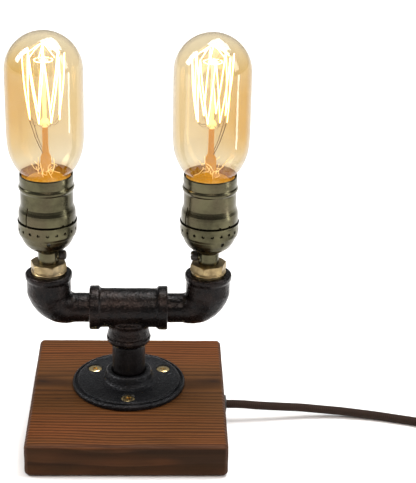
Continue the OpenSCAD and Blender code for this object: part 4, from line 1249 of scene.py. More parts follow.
def make_elbow(s):
    neck, leg, g, bead = 9.46, 14.1, 2.0, 14.9
    top = AX + 25
    cx, cz = LX - g - leg, AX + g + neck
    seg = 72
    rings = []
    for x in (17.0, 20.5, 23.6, 26.0, 28.5, 31.0):
        if x < cx:
            rings.append([(x, neck * math.sin(q), AX - neck * math.cos(q)) for q in np.linspace(0, 2 * math.pi, seg, endpoint=False)])
    nb = 26
    for i in range(nb + 1):
        t = i / nb
        a = math.pi / 2 * t
        r = neck + (leg - neck) * t
        c = g + r
        dx, dz = math.sin(a), -math.cos(a)
        rings.append([(cx + (c + r * math.cos(q)) * dx, r * math.sin(q), cz + (c + r * math.cos(q)) * dz)
                      for q in np.linspace(0, 2 * math.pi, seg, endpoint=False)])
    for z in (94, 96.5, 98.2):
        rings.append([(LX + leg * math.cos(q), leg * math.sin(q), z) for q in np.linspace(0, 2 * math.pi, seg, endpoint=False)])
    verts = [p for rg in rings for p in rg]
    faces = []
    for i in range(len(rings) - 1):
        for k in range(seg):
            faces.append((i * seg + k, (i + 1) * seg + k, (i + 1) * seg + (k + 1) % seg, i * seg + (k + 1) % seg))
    faces.append(tuple(range(seg)))
    faces.append(tuple((len(rings) - 1) * seg + k for k in range(seg))[::-1])
    ob = mk(("left" if s < 0 else "right") + "_elbow_casting", move(verts, T(0, YC, 0)), faces, IRON, 40)
    b = lathe(fillet([(0, 96, 0), (14.1, 96, 0), (14.1, 98.6, 0.6), (14.75, 99.6, 0.6), (bead, 100.4, 0.6),
                      (bead, 102.4, 0.8), (14.3, 103.25, 0.5), (0, 103.3, 0)], 0.5, 3, closed=False), 96, closed=False)
    boolean(ob, (move(b[0], T(LX, YC, 0)), b[1]), "UNION")
    th = lathe([(0, 0), (9.6, 0), (10.2, 0.8), (10.2, 11.0), (9.3, 11.6), (0, 11.6)], 72, closed=False)
    boolean(ob, (move(th[0], T(12.6, YC, AX) @ R("Y", 90)), th[1]), "UNION")
    c = cyl(6.0, 38.0, 48, 10)
    boolean(ob, (move(c[0], T(0, YC, AX) @ R("Y", 90)), c[1]))
    c = lathe([(0, AX + 3), (7, AX + 3), (7, 90.3), (10.5, 90.3), (10.5, 102.4), (11.6, 103.2), (11.6, 106), (0, 106)], 64, closed=False)
    boolean(ob, (move(c[0], T(LX, YC, 0)), c[1]))
    remesh(ob, 0.42)
    relax(ob, 3)
    co = coords(ob)
    mask = np.clip((np.hypot(co[:, 1] - YC, co[:, 2] - AX) - 8.6) / 0.6, 0, 1)
    mask *= np.clip((co[:, 0] - 25.6) / 1.0, 0, 1)
    up = co[:, 2] > 90
    mask[up] = np.clip((np.hypot(co[up, 0] - LX, co[up, 1] - YC) - 11.9) / 0.6, 0, 1)
    roughen(ob, [(3.2, 0.11), (1.1, 0.055), (9.0, 0.14)], 21.0 + s, mask)
    if s < 0:
        co = coords(ob)
        co[:, 0] *= -1
        set_coords(ob, co)
        ob.data.flip_normals()
    finish_shading(ob, None)
    set_mat(ob, IRON)
    return mark_edges(ob, 3, 0.04, 0.30)


def thread_grid(r_root, r_crest, pitch, z0, z1, seg=96, per=8, right=True):
    """Outside of a thread as a true helix that fades out at both ends."""
    n = max(4, int((z1 - z0) / pitch * per))
    rows = []
    for i in range(n + 1):
        z = z0 + (z1 - z0) * i / n
        fade = min(1.0, (z - z0) / (pitch * 0.8), (z1 - z) / (pitch * 0.8))
        row = []
        for k in range(seg):
            a = 2 * math.pi * k / seg
            ph = z / pitch - (a / (2 * math.pi) if right else -a / (2 * math.pi))
            w = 0.5 + 0.5 * math.cos(2 * math.pi * ph)
            r = r_root + (r_crest - r_root) * (w ** 1.2) * max(0, fade)
            row.append((r * math.cos(a), r * math.sin(a), z))
        rows.append(row)
    return rows


def skin(rows, cap_low=True, cap_high=True):
    seg = len(rows[0])
    verts = [p for r in rows for p in r]
    faces = []
    for i in range(len(rows) - 1):
        for k in range(seg):
            faces.append((i * seg + k, i * seg + (k + 1) % seg, (i + 1) * seg + (k + 1) % seg, (i + 1) * seg + k))
    if cap_low:
        faces.append(tuple(range(seg))[::-1])
    if cap_high:
        faces.append(tuple((len(rows) - 1) * seg + k for k in range(seg)))
    return np.array(verts, float), faces


def ringrow(r, z, seg=96):
    return [(r * math.cos(2 * math.pi * k / seg), r * math.sin(2 * math.pi * k / seg), z) for k in range(seg)]


def make_bushing(s):
    name = ("left" if s < 0 else "right") + "_hex_bushing"
    rows = [ringrow(9.6, 92.4)] + thread_grid(10.0, 10.38, 1.81, 92.8, 103.3)
    rows += [ringrow(10.35, 103.5), ringrow(10.75, 103.7)]
    rows += thread_grid(10.75, 11.35, 1.15, 103.8, 105.6, per=8)
    rows += [ringrow(10.6, 105.9)]
    ob = mk(name, *skin(rows), BRASS, 35)
    # hexagon with turned chamfers
    hexa = []
    for z in (105.8, 110.8):
        for k in range(6):
            a = math.radians((286 if s < 0 else 254) + 60 * k)
            hexa.append((11.9 * math.cos(a), 11.9 * math.sin(a), z))
    hf = [tuple(range(6))[::-1], tuple(range(6, 12))] + [(k, (k + 1) % 6, 6 + (k + 1) % 6, 6 + k) for k in range(6)]
    hx = mk("h", hexa, hf, BRASS, 30)
    lim = lathe([(0, 105.8), (10.9, 105.8), (11.9, 106.4), (11.95, 109.9), (10.5, 110.8), (0, 110.8)], 120, closed=False)
    boolean(hx, lim, "INTERSECT", 30)
    bevelled(hx, 0.22, 2, 25, 30)
    hv = coords(hx)
    hp = [tuple(p.vertices) for p in hx.data.polygons]
    d = hx.data
    bpy.data.objects.remove(hx)
    bpy.data.meshes.remove(d)
    boolean(ob, (hv, hp), "UNION", 30)
    c = lathe([(0, 91), (5.05, 91), (5.05, 110.2), (5.7, 111.5), (0, 111.5)], 48, closed=False)
    boolean(ob, c, "DIFFERENCE", 30)
    set_coords(ob, move(coords(ob), T(s * LX, YC, 0)))
    set_mat(ob, BRASS)
    return mark_edges(ob, 1)


def make_cap(s):
    name = ("left" if s < 0 else "right") + "_holder_cap"
    prof = fillet([(5.1, 110.9, 0.2), (6.6, 110.9, 0.3), (6.55, 113, 1), (6.5, 118.2, 0.7), (7.6, 119.5, 1.0),
                   (11.5, 121.5, 3.0), (14.2, 124.0, 3.0), (16.0, 127.2, 3.0), (17.0, 130.1, 0.5),
                   (17.05, 130.5, 0.15), (17.75, 130.75, 0.35), (18.3, 132.4, 2.0), (18.45, 134.5, 2.0),
                   (18.45, 138.6, 0.8), (18.62, 139.4, 0.3), (18.62, 139.85, 0.15), (18.1, 139.85, 0.1),
                   (17.75, 138.8, 0.4), (17.75, 134.5, 1.0), (17.5, 132.8, 1.5), (16.3, 130.9, 1.0),
                   (15.3, 127.8, 2.0), (13.6, 124.7, 2.0), (11.1, 122.3, 2.0), (7.7, 120.6, 1.0),
                   (5.1, 120.6, 0.3)], 0.4, 5)
    ob = mk(name, *lathe(prof, 160), BRONZE, 40)
    cut = []
    for i in range(20):
        c = lathe([(0, 16.2), (0.95, 16.2), (0.95, 18.3), (1.25, 18.7), (1.3, 20), (0, 20)], 20, closed=False)
        cut.append((move(c[0], R("Z", i * 18 + 4) @ T(0, 0, 135.6) @ R("Y", 90)), c[1]))
    for a in (0, 180):
        c = cyl(1.2, 12, 24, 0)
        cut.append((move(c[0], R("Z", a + (276 if s < 0 else 298)) @ T(11, 0, 127.0) @ R("Y", 70)), c[1]))
    c = cyl(1.55, 6, 24, 3)
    cut.append((move(c[0], R("Z", 0 if s < 0 else 180) @ T(0, 0, 115.2) @ R("Y", 90)), c[1]))
    boolean(ob, join_raw(cut), "DIFFERENCE", 35)
    # turned boss round the neck screw
    boss = lathe(fillet([(1.62, 5.6, 0), (2.9, 5.6, 0), (2.9, 6.5, 0.2), (2.6, 6.85, 0.1), (1.62, 6.85, 0)], 0.2, 3), 40)
    boolean(ob, (move(boss[0], R("Z", 0 if s < 0 else 180) @ T(0, 0, 115.2) @ R("Y", 90)), boss[1]), "UNION", 35)
    set_coords(ob, move(coords(ob), T(s * LX, YC, 0)))
    set_mat(ob, BRONZE)
    return mark_edges(ob, 1, 0.05, 0.4)


def make_neck_screw(s):
    prof = fillet([(0, 0, 0), (1.45, 0, 0.2), (1.45, 1.8, 0.1), (2.9, 1.9, 0.2), (3.15, 2.4, 0.4), (3.2, 4.9, 0.5),
                   (2.75, 6.0, 0.7), (1.5, 6.55, 1.0), (0, 6.65, 0)], 0.3, 4, closed=False)
    ob = mk(("left" if s < 0 else "right") + "_lock_screw", *lathe(prof, 56, closed=False), DARK_STEEL, 40)
    kn = []
    for i in range(22):
        c = cyl(0.26, 3.2, 10, 2.2)
        kn.append((move(c[0], R("Z", i * 360 / 22) @ T(3.28, 0, 0)), c[1]))
    boolean(ob, join_raw(kn), "DIFFERENCE", 30)
    boolean(ob, box_raw(-0.5, 0.5, -5, 5, 5.5, 8), "DIFFERENCE", 30)
    M4 = T(s * LX, YC, 0) @ R("Z", 0 if s < 0 else 180) @ T(5.05, 0, 115.2) @ R("Y", 90) @ R("Z", 35)
    set_coords(ob, move(coords(ob), M4))
    set_mat(ob, DARK_STEEL)
    return mark_edges(ob, 1)


def make_shell(s):
    name = ("left" if s < 0 else "right") + "_holder_shell"
    prof = fillet([(17.35, 134.6, 0.1), (17.35, 140.2, 0.1), (17.75, 140.55, 0.15), (17.95, 140.95, 0.2),
                   (17.92, 143, 1), (17.85, 145.6, 1.2), (17.6, 147.2, 1.6), (16.95, 149.0, 1.6),
                   (16.55, 150.6, 1.5), (16.5, 152.5, 1.5), (16.5, 159.2, 0.8), (16.62, 160.2, 0.5),
                   (17.25, 161.2, 0.7), (17.5, 162.2, 0.9), (17.25, 163.2, 0.7), (16.75, 164.1, 0.6),
                   (16.72, 165.2, 0.6), (16.85, 167.5, 1.0), (16.7, 170.0, 0.5), (16.45, 170.75, 0.2),
                   (16.15, 170.8, 0.15), (15.95, 170.3, 0.15), (15.95, 164.5, 0.5), (15.9, 152, 1), (16.7, 148.2, 1),
                   (17.2, 145.8, 0.8), (17.2, 141.4, 0.4), (16.8, 140.4, 0.2), (16.8, 134.6, 0.1)], 0.4, 5)
    ob = mk(name, *lathe(prof, 192), BRONZE, 40)
    a = 228 if s < 0 else 212
    cut = []
    for b in (0, 180):
        bx = box_raw(14, 20, -0.5, 0.5, 133, 151.2)
        cut.append((move(bx[0], R("Z", a + b)), bx[1]))
        c = cyl(0.62, 6, 20, 14)
        cut.append((move(c[0], R("Z", a + b) @ T(0, 0, 151.3) @ R("Y", 90)), c[1]))
    # pairs of small notches in the lower edge
    front = -90.0
    for d_ in ((36, 64) if s < 0 else (19, 41)):
        c = cyl(0.85, 6, 20, 15)
        cut.append((move(c[0], R("Z", front + d_) @ T(0, 0, 140.95) @ R("Y", 90)), c[1]))
        c2 = cyl(0.85, 6, 20, 15)
        cut.append((move(c2[0], R("Z", front + d_ + 180) @ T(0, 0, 140.95) @ R("Y", 90)), c2[1]))
    for c in cut:
        boolean(ob, c, "DIFFERENCE", 35)
    set_coords(ob, move(coords(ob), T(s * LX, YC, 0)))
    set_mat(ob, BRONZE)
    return mark_edges(ob, 1, 0.05, 0.4)


# =====================================================================
# Bulbs
# =====================================================================

BR, BT = 23.8, 260.4


def make_glass(s):
    h = BT - BR
    low = [(0, 160.2), (11.5, 160.2), (12.8, 160.6), (12.9, 164.4), (14, 166.6), (14.8, 169.2), (15.4, 171.2), (16.9, 173.3),
           (18.9, 176.2), (20.8, 180.0), (22.3, 184.1), (23.2, 188.4), (23.65, 193.5), (23.8, 200)]
    curve = spline([(p[0], 0, p[1]) for p in low[2:]], 0.8)
    prof = [(0, 160.2), (11.5, 160.2), (12.5, 160.35)] + [(p[0], p[2]) for p in curve] + [(BR, 215), (BR, 230)]
    for k in range(0, 31):
        a = math.pi / 2 * k / 30
        prof.append((BR * math.cos(a) if k < 30 else 0.0, h + BR * math.sin(a)))
    v, f = lathe(prof, 128, closed=False)
    ob = mk(("left" if s < 0 else "right") + "_envelope", move(v, T(s * LX, YC, 0)), f, GLASS, None)
    return ob


def make_stem(s):
    """Flare, press and rod, one piece of glass, with the bead and the little crown."""
    prof = fillet([(0, 163, 0), (12.2, 163, 0), (12.6, 164.2, 0.5), (12.0, 165.6, 0.8), (8.0, 166.4, 1.5), (4.4, 168.2, 2), (3.1, 171.5, 2),
                   (2.7, 177.5, 1.5), (2.5, 181.5, 1.5), (1.9, 184, 1), (1.8, 190, 1), (1.75, 200.5, 0.4), (0, 200.9, 0)], 0.6, 5, closed=False)
    stem = mk("a", *lathe(prof, 64, closed=False), STEM_GLOW, None)
    # flatten the press
    co = coords(stem)
    k = np.clip((co[:, 2] - 173) / 4, 0, 1) * np.clip((186 - co[:, 2]) / 4, 0, 1)
    co[:, 1] *= 1 - 0.45 * k
    co[:, 0] *= 1 + 0.35 * k
    set_coords(stem, co)
    bead = mk("b", *lathe(fillet([(0, 200.6, 0), (1.7, 200.6, 0.5), (2.9, 202.2, 1.2), (3.0, 203.8, 1.2), (1.9, 205.6, 0.8),
                                  (1.15, 206.4, 0.6), (1.05, 240, 0.5), (1.7, 242.2, 0.6), (1.6, 243.6, 0.6), (0, 244, 0)],
                                 0.4, 5, closed=False), 48, closed=False), BEAD_GLOW, None)
    flare = mk("c", *lathe(fillet([(0, 163.6, 0), (12.1, 164.9, 0), (12.7, 166.2, 0.3), (11.4, 167.3, 0.8), (7.0, 169.2, 1.5), (0, 171.0, 0)],
                                  0.4, 4, closed=False), 64, closed=False), FLARE_GLOW, None)
    # painted glints: thin glowing threads scattered through the press
    rnd = random.Random(31 if s < 0 else 47)
    bits = []
    for i in range(22):
        a = rnd.uniform(0, 2 * math.pi)
        r1, z1 = rnd.uniform(2.6, 5.0), rnd.uniform(168.0, 178.0)
        r2, z2 = rnd.uniform(4.5, 10.5), rnd.uniform(168.5, 181.0)
        a2 = a + rnd.uniform(-0.5, 0.5)
        mid_ = (0.5 * (r1 + r2) * math.cos(a) , 0.5 * (r1 + r2) * math.sin(a), 0.5 * (z1 + z2) - rnd.uniform(0, 2))
        bits.append(tube(even(spline([(r1 * math.cos(a), r1 * math.sin(a), z1), mid_,
                                      (r2 * math.cos(a2), r2 * math.sin(a2), z2)], 0.6), 0.8), 0.17, 6))
    bv, bf = join_raw(bits)
    glints = mk("g", bv, bf, GLINT, None)
    ob = merge([stem, bead, flare, glints], ("left" if s < 0 else "right") + "_mount_glass")
    me = ob.data
    set_coords(ob, move(coords(ob), T(s * LX, YC, 0) @ R("Z", 25 if s < 0 else -20)))
    finish_shading(ob, None)
    return ob


def cage(s):
    """Ends of the filament's strands: hooks at the top and hooks round the bead."""
    rnd = random.Random(5 if s < 0 else 8)
    top, low = [], []
    n = 8
    for i in range(n):
        a = 2 * math.pi * i / n + 0.1
        top.append((12.6 * math.cos(a), 12.6 * math.sin(a), 248.0 - rnd.random() * 1.6))
        b = 2 * math.pi * (i + 0.5) / n + 0.1
        low.append((9.6 * math.cos(b), 9.6 * math.sin(b), 205.0 + rnd.random() * 2.2))
    return top, low


def bowed(p, q, out, n=10):
    p, q = np.array(p, float), np.array(q, float)
    pts = []
    for k in range(n + 1):
        t = k / n
        m_ = p + (q - p) * t
        rad = np.array((m_[0], m_[1], 0.0))
        rad /= np.linalg.norm(rad) + 1e-9
        pts.append(m_ + rad * out * math.sin(math.pi * t))
    return pts


def make_filament(s):
    top, low = cage(s)
    parts = []
    line = []
    for i in range(len(top)):
        a = bowed(top[i], low[i], 0.9)
        line += a if i == 0 else a[1:]
        if i < len(top) - 1:
            line += bowed(low[i], top[i + 1], 0.9)[1:]
    v = tube(even(np.array(line), 0.9), 0.34, 7)
    parts.append(v)
    # short loops that cross over the crown
    for a in (0.4, 2.1, 3.9, 5.5):
        p = (10.5 * math.cos(a), 10.5 * math.sin(a), 246.5)
        q = (9.8 * math.cos(a + 2.4), 9.8 * math.sin(a + 2.4), 246.5)
        mid = (0.6 * math.cos(a), 0.6 * math.sin(a), 253.0)
        parts.append(tube(even(spline([p, mid, q], 0.8), 0.9), 0.24, 6))
    ring = [(5.6 * math.cos(t), 5.6 * math.sin(t), 242.8) for t in np.linspace(0, 2 * math.pi, 40, endpoint=False)]
    parts.append(tube(np.array(ring), 0.22, 6, closed=True))
    v, f = join_raw(parts)
    return mk(("left" if s < 0 else "right") + "_filament_cage", move(v, T(s * LX, YC, 0)), f, FILAMENT, None)


def make_supports(s):
    top, low = cage(s)
    parts = []
    for p in top:
        a = math.atan2(p[1], p[0])
        parts.append(tube(even(spline([(1.2 * math.cos(a), 1.2 * math.sin(a), 242.6), (6 * math.cos(a), 6 * math.sin(a), 245.5),
                                       (p[0] * 0.98, p[1] * 0.98, p[2] + 0.3)], 0.8), 1.0), 0.16, 6))
    for p in low:
        a = math.atan2(p[1], p[0])
        parts.append(tube(even(spline([(2.6 * math.cos(a), 2.6 * math.sin(a), 203.2), (6.5 * math.cos(a), 6.5 * math.sin(a), 202.6),
                                       (p[0], p[1], p[2] - 0.2)], 0.8), 1.0), 0.16, 6))
    side = -1 if s < 0 else 1
    p = low[3] if s < 0 else low[7]
    q = low[4] if s < 0 else low[6]
    parts.append(tube(even(spline([(side * 9.0, -2.0, 205.2), (side * 5.0, -1.6, 192), (-side * 0.8, -1.0, 179.0)], 1.0), 1.2), 0.26, 6))
    parts.append(tube(even(spline([(side * 8.0, 2.4, 205.6), (side * 3.6, 1.8, 190), (-side * 1.8, 1.2, 178.6)], 1.0), 1.2), 0.26, 6))
    v, f = join_raw(parts)
    return mk(("left" if s < 0 else "right") + "_filament_hooks", move(v, T(s * LX, YC, 0)), f, SUPPORT, None)


def make_bulb_cap(s):
    rows = [ringrow(4.9, 142.2), ringrow(4.9, 141.7), ringrow(7.5, 141.7), ringrow(9.4, 142.0), ringrow(11.2, 143.0), ringrow(12.1, 144.0)]
    rows += thread_grid(12.15, 12.95, 3.629, 144.6, 162.2, per=12)
    rows += [ringrow(12.4, 162.6), ringrow(12.9, 163.4), ringrow(12.95, 164.8), ringrow(12.6, 165.0)]
    rows += [ringrow(12.6, 160.0), ringrow(11.7, 159.8), ringrow(11.7, 144.6), ringrow(9.2, 142.7)]
    v, f = skin(rows, False, False)
    seg = 96
    n = len(rows)
    f += [((n - 1) * seg + k, (n - 1) * seg + (k + 1) % seg, (k + 1) % seg, k) for k in range(seg)]
    return mk(("left" if s < 0 else "right") + "_threaded_cap", move(v, T(s * LX, YC, 0)), f, CAP_BRASS, 40)


for side_name, s in (("left", -1), ("right", 1)):
    arm, bulb = side_name + "_arm", side_name + "_bulb"
    for maker, node_name, body, slot in (
            (make_elbow, "elbow", arm, "black_iron"),
            (make_bushing, "bushing", arm, "cast_brass"),
            (make_cap, "socket_cap", arm, "antique_bronze"),
            (make_neck_screw, "neck_screw", arm, "dark_screw"),
            (make_shell, "socket_shell", arm, "antique_bronze"),
            (make_glass, "bulb_glass", bulb, "amber_glass"),
            (make_stem, "bulb_stem", bulb, "stem_glass"),
            (make_filament, "filament", bulb, "filament_wire"),
            (make_supports, "filament_supports", bulb, "support_wire"),
            (make_bulb_cap, "bulb_cap", bulb, "cap_brass")):
        ob = maker(s)
        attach(ob, body)
        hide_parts(side_name + "_" + node_name)


# =====================================================================
# Grommet, coil tie, plug and inline switch
# =====================================================================

def make_grommet():
    prof = fillet([(2.83, 53.8, 0.2), (3.7, 53.8, 0.3), (3.9, 55, 0.3), (3.9, 62.75, 0.1), (5.6, 62.78, 0.3),
                   (6.0, 63.2, 0.35), (5.85, 63.7, 0.35), (4.6, 64.15, 0.5), (3.3, 64.25, 0.3), (2.83, 63.9, 0.2)], 0.3, 4)
    v, f = lathe(prof, 72)
    return mk("black_grommet", move(v, T(0, 0, 11.3) @ R("Y", 90)), f, RUBBER, 50)


grommet = make_grommet()
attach(grommet, "base")
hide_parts("cord_grommet")


def make_tie():
    """Strap closed round the bundle, with its free end lapped over."""
    a = math.radians(100)
    c, sn = math.cos(a), math.sin(a)
    half, lo, hi, th = 11.6, 0.72, 12.2, 0.65
    loop = [(-half, 6.2), (-half, 2.6), (-half + 1.6, lo), (0, lo), (half - 1.6, lo), (half, 2.6),
            (half, 10.4), (half - 1.8, hi), (0, hi + 0.05), (-half + 1.8, hi), (-half, 10.4)]
    P = spline([(p[0], 0, p[1]) for p in loop + loop[:2]], 0.7)
    P = even(P, 0.8)
    P = P[:-2]
    verts, faces = [], []
    n = len(P)
    cen = P.mean(0)
    for i in range(n):
        tng = P[(i + 1) % n] - P[i - 1]
        tng /= np.linalg.norm(tng)
        nr = np.array((tng[2], 0, -tng[0]))
        if np.dot(nr, P[i] - cen) < 0:
            nr = -nr
        for w, t in ((-3.5, 0.0), (-3.3, th), (3.3, th), (3.5, 0.0)):
            p = P[i] + nr * t
            verts.append((p[0], w, max(p[2], 0.02)))
    for i in range(n):
        for k in range(4):
            a0_, a1_ = i * 4 + k, i * 4 + (k + 1) % 4
            b0_, b1_ = ((i + 1) % n) * 4 + k, ((i + 1) % n) * 4 + (k + 1) % 4
            faces.append((a0_, a1_, b1_, b0_))
    M4 = T(COIL[0] + 33 * c, COIL[1] + 33 * sn, 0) @ Matrix.Rotation(a, 4, "Z")
    ob = mk("coil_strap", move(np.array(verts), M4), faces, STRAP, 40)
    tab, tf = rounded_box(9.0, 6.4, 0.7, 0.3, 6, 4, 1, 2)
    tb = mk("t", move(tab, M4 @ T(3.0, 0, hi + th - 0.25)), tf, STRAP, 40)
    return merge([ob, tb], "coil_strap", STRAP, 40)


tie = make_tie()
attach(tie, "base")
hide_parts("coil_tie")


def make_plug():
    px, py = 301.55, 57.0
    # tapered, ribbed strain relief
    prof = [(0, 0, 0), (3.3, 0, 0.3), (3.6, 0.8, 0.3)]
    y = 1.4
    while y < 16.5:
        r = 3.6 + 1.5 * y / 17
        prof += [(r, y, 0.15), (r + 0.35, y + 0.4, 0.3), (r + 0.35, y + 1.5, 0.3), (r, y + 1.9, 0.15)]
        y += 2.6
    prof += [(5.4, 17.8, 0.5), (6.2, 20.5, 1.0), (7.6, 23.5, 1.0), (0, 24.5, 0)]
    rel = lathe(fillet(prof, 0.2, 3, closed=False), 64, closed=False)
    v, f = rounded_box(23.8, 33.8, 17.8, 4.2, 8, 12, 6, 6)
    v = np.array(v)
    # waist for the fingers and a taper towards the cord
    t = np.clip((v[:, 1] + 17) / 34, 0, 1)
    waist = 1 - 0.16 * np.exp(-((t - 0.42) / 0.22) ** 2) - 0.10 * np.clip(1 - t / 0.25, 0, 1)
    v[:, 0] *= waist
    v[:, 2] = 8.9 + (v[:, 2] - 8.9) * (1 - 0.10 * np.clip(1 - t / 0.35, 0, 1))
    ob = mk("plug_moulding", move(v, T(px, py + 22 + 16.95, 0.1)), f, PLUG, 40)
    rv = move(rel[0], T(px, py, 9) @ R("X", -90))
    boolean(ob, (rv, rel[1]), "UNION", 35)
    cut = []
    for sx in (-1, 1):
        for i in range(6):
            b = box_raw(-0.45, 0.45, -0.5, 0.5, 3.6, 14.2)
            cut.append((move(b[0], T(px + sx * 10.35, py + 30 + i * 2.3, 0)), b[1]))
    bore = cyl(2.9, 20, 32, -1)
    cut.append((move(bore[0], T(px, py, 9) @ R("X", -90)), bore[1]))
    boolean(ob, join_raw(cut), "DIFFERENCE", 35)
    set_mat(ob, PLUG)
    return ob


plug = make_plug()
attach(plug, "base")
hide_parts("plug_body")


def make_blades():
    parts = []
    for sx in (-1, 1):
        w = 7.9 if sx < 0 else 6.4
        v, f = rounded_box(1.5, 17.0, w, 0.35, 2, 8, 4, 2)
        v = np.array(v)
        # pointed tips
        t = np.clip((v[:, 1] - 5.5) / 3.0, 0, 1)
        v[:, 2] = w / 2 + (v[:, 2] - w / 2) * (1 - 0.35 * t)
        v[:, 0] *= 1 - 0.45 * t
        ob = mk("p", move(v, T(301.55 + sx * 6.35, 57 + 56.0 + 8.5, 9 - (3.95 if sx < 0 else 3.2))), f, CONTACT, 35)
        h = cyl(1.5, 6, 24, -3)
        boolean(ob, (move(h[0], T(301.55 + sx * 6.35, 57 + 56 + 12.5, 9) @ R("Y", 90)), h[1]), "DIFFERENCE", 35)
        parts.append(ob)
    return mark_edges(merge(parts, "plug_blades", CONTACT, 35), 1)


blades = make_blades()
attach(blades, "base")
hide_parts("plug_pins")


def copy_node(node, name, mat, bevel_w=0.35, segs=3, angle=25):
    """A CAD shape as a new piece with soft edges."""
    me = NODES[node].data.copy()
    ob = bpy.data.objects.new(name, me)
    SCENE.collection.objects.link(ob)
    bm = bmesh.new()
    bm.from_mesh(me)
    bmesh.ops.remove_doubles(bm, verts=bm.verts, dist=2e-6)
    bmesh.ops.dissolve_limit(bm, angle_limit=math.radians(0.6), verts=bm.verts, edges=bm.edges)
    bmesh.ops.recalc_face_normals(bm, faces=bm.faces)
    bm.to_mesh(me)
    bm.free()
    for at in [x for x in me.attributes if x.name in ("custom_normal", "sharp_edge", "sharp_face")]:
        me.attributes.remove(at)
    me.materials.clear()
    me.materials.append(mat)
    bevelled(ob, bevel_w, segs, angle, 40)
    return ob


SWM = T(SWC[0], SWC[1], 0) @ Matrix.Rotation(SWA, 4, "Z")


def make_switch_half(lower):
    """One half of the inline switch's housing, with its half of the cord glands."""
    L_, W_, r_ = 44.0, 26.0, 9.0
    rows = []
    seg_pts = []
    for (cx_, cy_, a0_) in ((L_ / 2 - r_, W_ / 2 - r_, 0), (-L_ / 2 + r_, W_ / 2 - r_, 90),
                            (-L_ / 2 + r_, -W_ / 2 + r_, 180), (L_ / 2 - r_, -W_ / 2 + r_, 270)):
        for k in range(13):
            a = math.radians(a0_ + 90 * k / 12)
            seg_pts.append((cx_, cy_, math.cos(a), math.sin(a)))

    def row(inset, z):
        return [(cx_ + (r_ - inset) * ca, cy_ + (r_ - inset) * sa, z) for cx_, cy_, ca, sa in seg_pts]
    if lower:
        rows = [row(2.2, 0.05), row(1.2, 0.25), row(0.45, 0.9), row(0.05, 2.2), row(0.0, 4), row(0.0, 7.1), row(0.35, 7.48)]
    else:
        rows = [row(0.35, 7.53), row(0.0, 7.9), row(0.0, 11.5), row(0.1, 13.4), row(0.6, 15.2), row(1.6, 16.7), row(3.1, 17.6), row(5.0, 17.9)]
    v, f = skin(rows)
    if not lower:
        v = np.array(v)
        # crowned lid, lower towards the two ends
        k = np.clip((v[:, 2] - 11.5) / 6.4, 0, 1)
        v[:, 2] -= k * 1.6 * (np.abs(v[:, 0]) / 22) ** 3
    ob = mk("switch_base_half" if lower else "switch_lid_half", v, f, SWITCH, 35)
    for a in (0, 180):
        prof = [(0, 0, 0), (6.7, 0, 0.3), (6.3, 2.6, 1.0)]
        x = 3.4
        while x < 12.0:
            r = 5.3 - 1.6 * (x - 3.4) / 9
            prof += [(r - 0.3, x, 0.15), (r + 0.15, x + 0.35, 0.3), (r + 0.1, x + 1.2, 0.3), (r - 0.35, x + 1.55, 0.15)]
            x += 2.1
        prof += [(3.6, 12.9, 0.3), (0, 12.9, 0)]
        rel = lathe(fillet(prof, 0.2, 3, closed=False), 56, closed=False)
        rv = mk("g", move(rel[0], R("Z", a) @ T(20.9, 0, SWZ) @ R("Y", 90)), rel[1], None, 35)
        lim = box_raw(-60, 60, -12, 12, -1, 7.48) if lower else box_raw(-60, 60, -12, 12, 7.53, 20)
        boolean(rv, lim, "INTERSECT")
        raw = (coords(rv), [tuple(p.vertices) for p in rv.data.polygons])
        d = rv.data
        bpy.data.objects.remove(rv)
        bpy.data.meshes.remove(d)
        boolean(ob, raw, "UNION")
    cut = []
    if lower:
        cut.append(box_raw(-17, 17, -10, 10, 1.6, 9))
        for x in (-19, 19):
            for y in (-8.5, 8.5):
                c = lathe([(0, -1), (1.9, -1), (1.9, 0.9), (1.05, 1.2), (1.05, 9), (0, 9)], 24, closed=False)
                cut.append((move(c[0], T(x, y, 0)), c[1]))
    else:
        cut.append(box_raw(-17, 17, -10, 10, 6, 15.6))
    bore = cyl(2.86, 120, 40, -60)
    cut.append((move(bore[0], T(0, 0, SWZ) @ R("Y", 90)), bore[1]))
    for c in cut:
        boolean(ob, c, "DIFFERENCE", 35)
    if not lower:
        wv, wf = rounded_box(18.4, 11.2, 12, 1.0, 2, 2, 2, 3)
        boolean(ob, (move(wv, T(0, 0, 11)), wf), "DIFFERENCE", 35)
        # raised lip round the rocker
        ov, of_ = rounded_box(21.4, 14.2, 3.0, 1.45, 3, 3, 1, 3)
        lip = mk("l", move(ov, T(0, 0, 15.3)), of_, None, 35)
        iv, if_ = rounded_box(18.4, 11.2, 12, 1.0, 2, 2, 2, 3)
        boolean(lip, (move(iv, T(0, 0, 11)), if_), "DIFFERENCE")
        raw = (coords(lip), [tuple(p.vertices) for p in lip.data.polygons])
        d = lip.data
        bpy.data.objects.remove(lip)
        bpy.data.meshes.remove(d)
        boolean(ob, raw, "UNION", 35)
    set_coords(ob, move(coords(ob), SWM))
    set_mat(ob, SWITCH)
    return ob


sw_low = make_switch_half(True)
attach(sw_low, "base")
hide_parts("switch_lower_shell")
sw_top = make_switch_half(False)
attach(sw_top, "base")
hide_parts("switch_upper_shell")


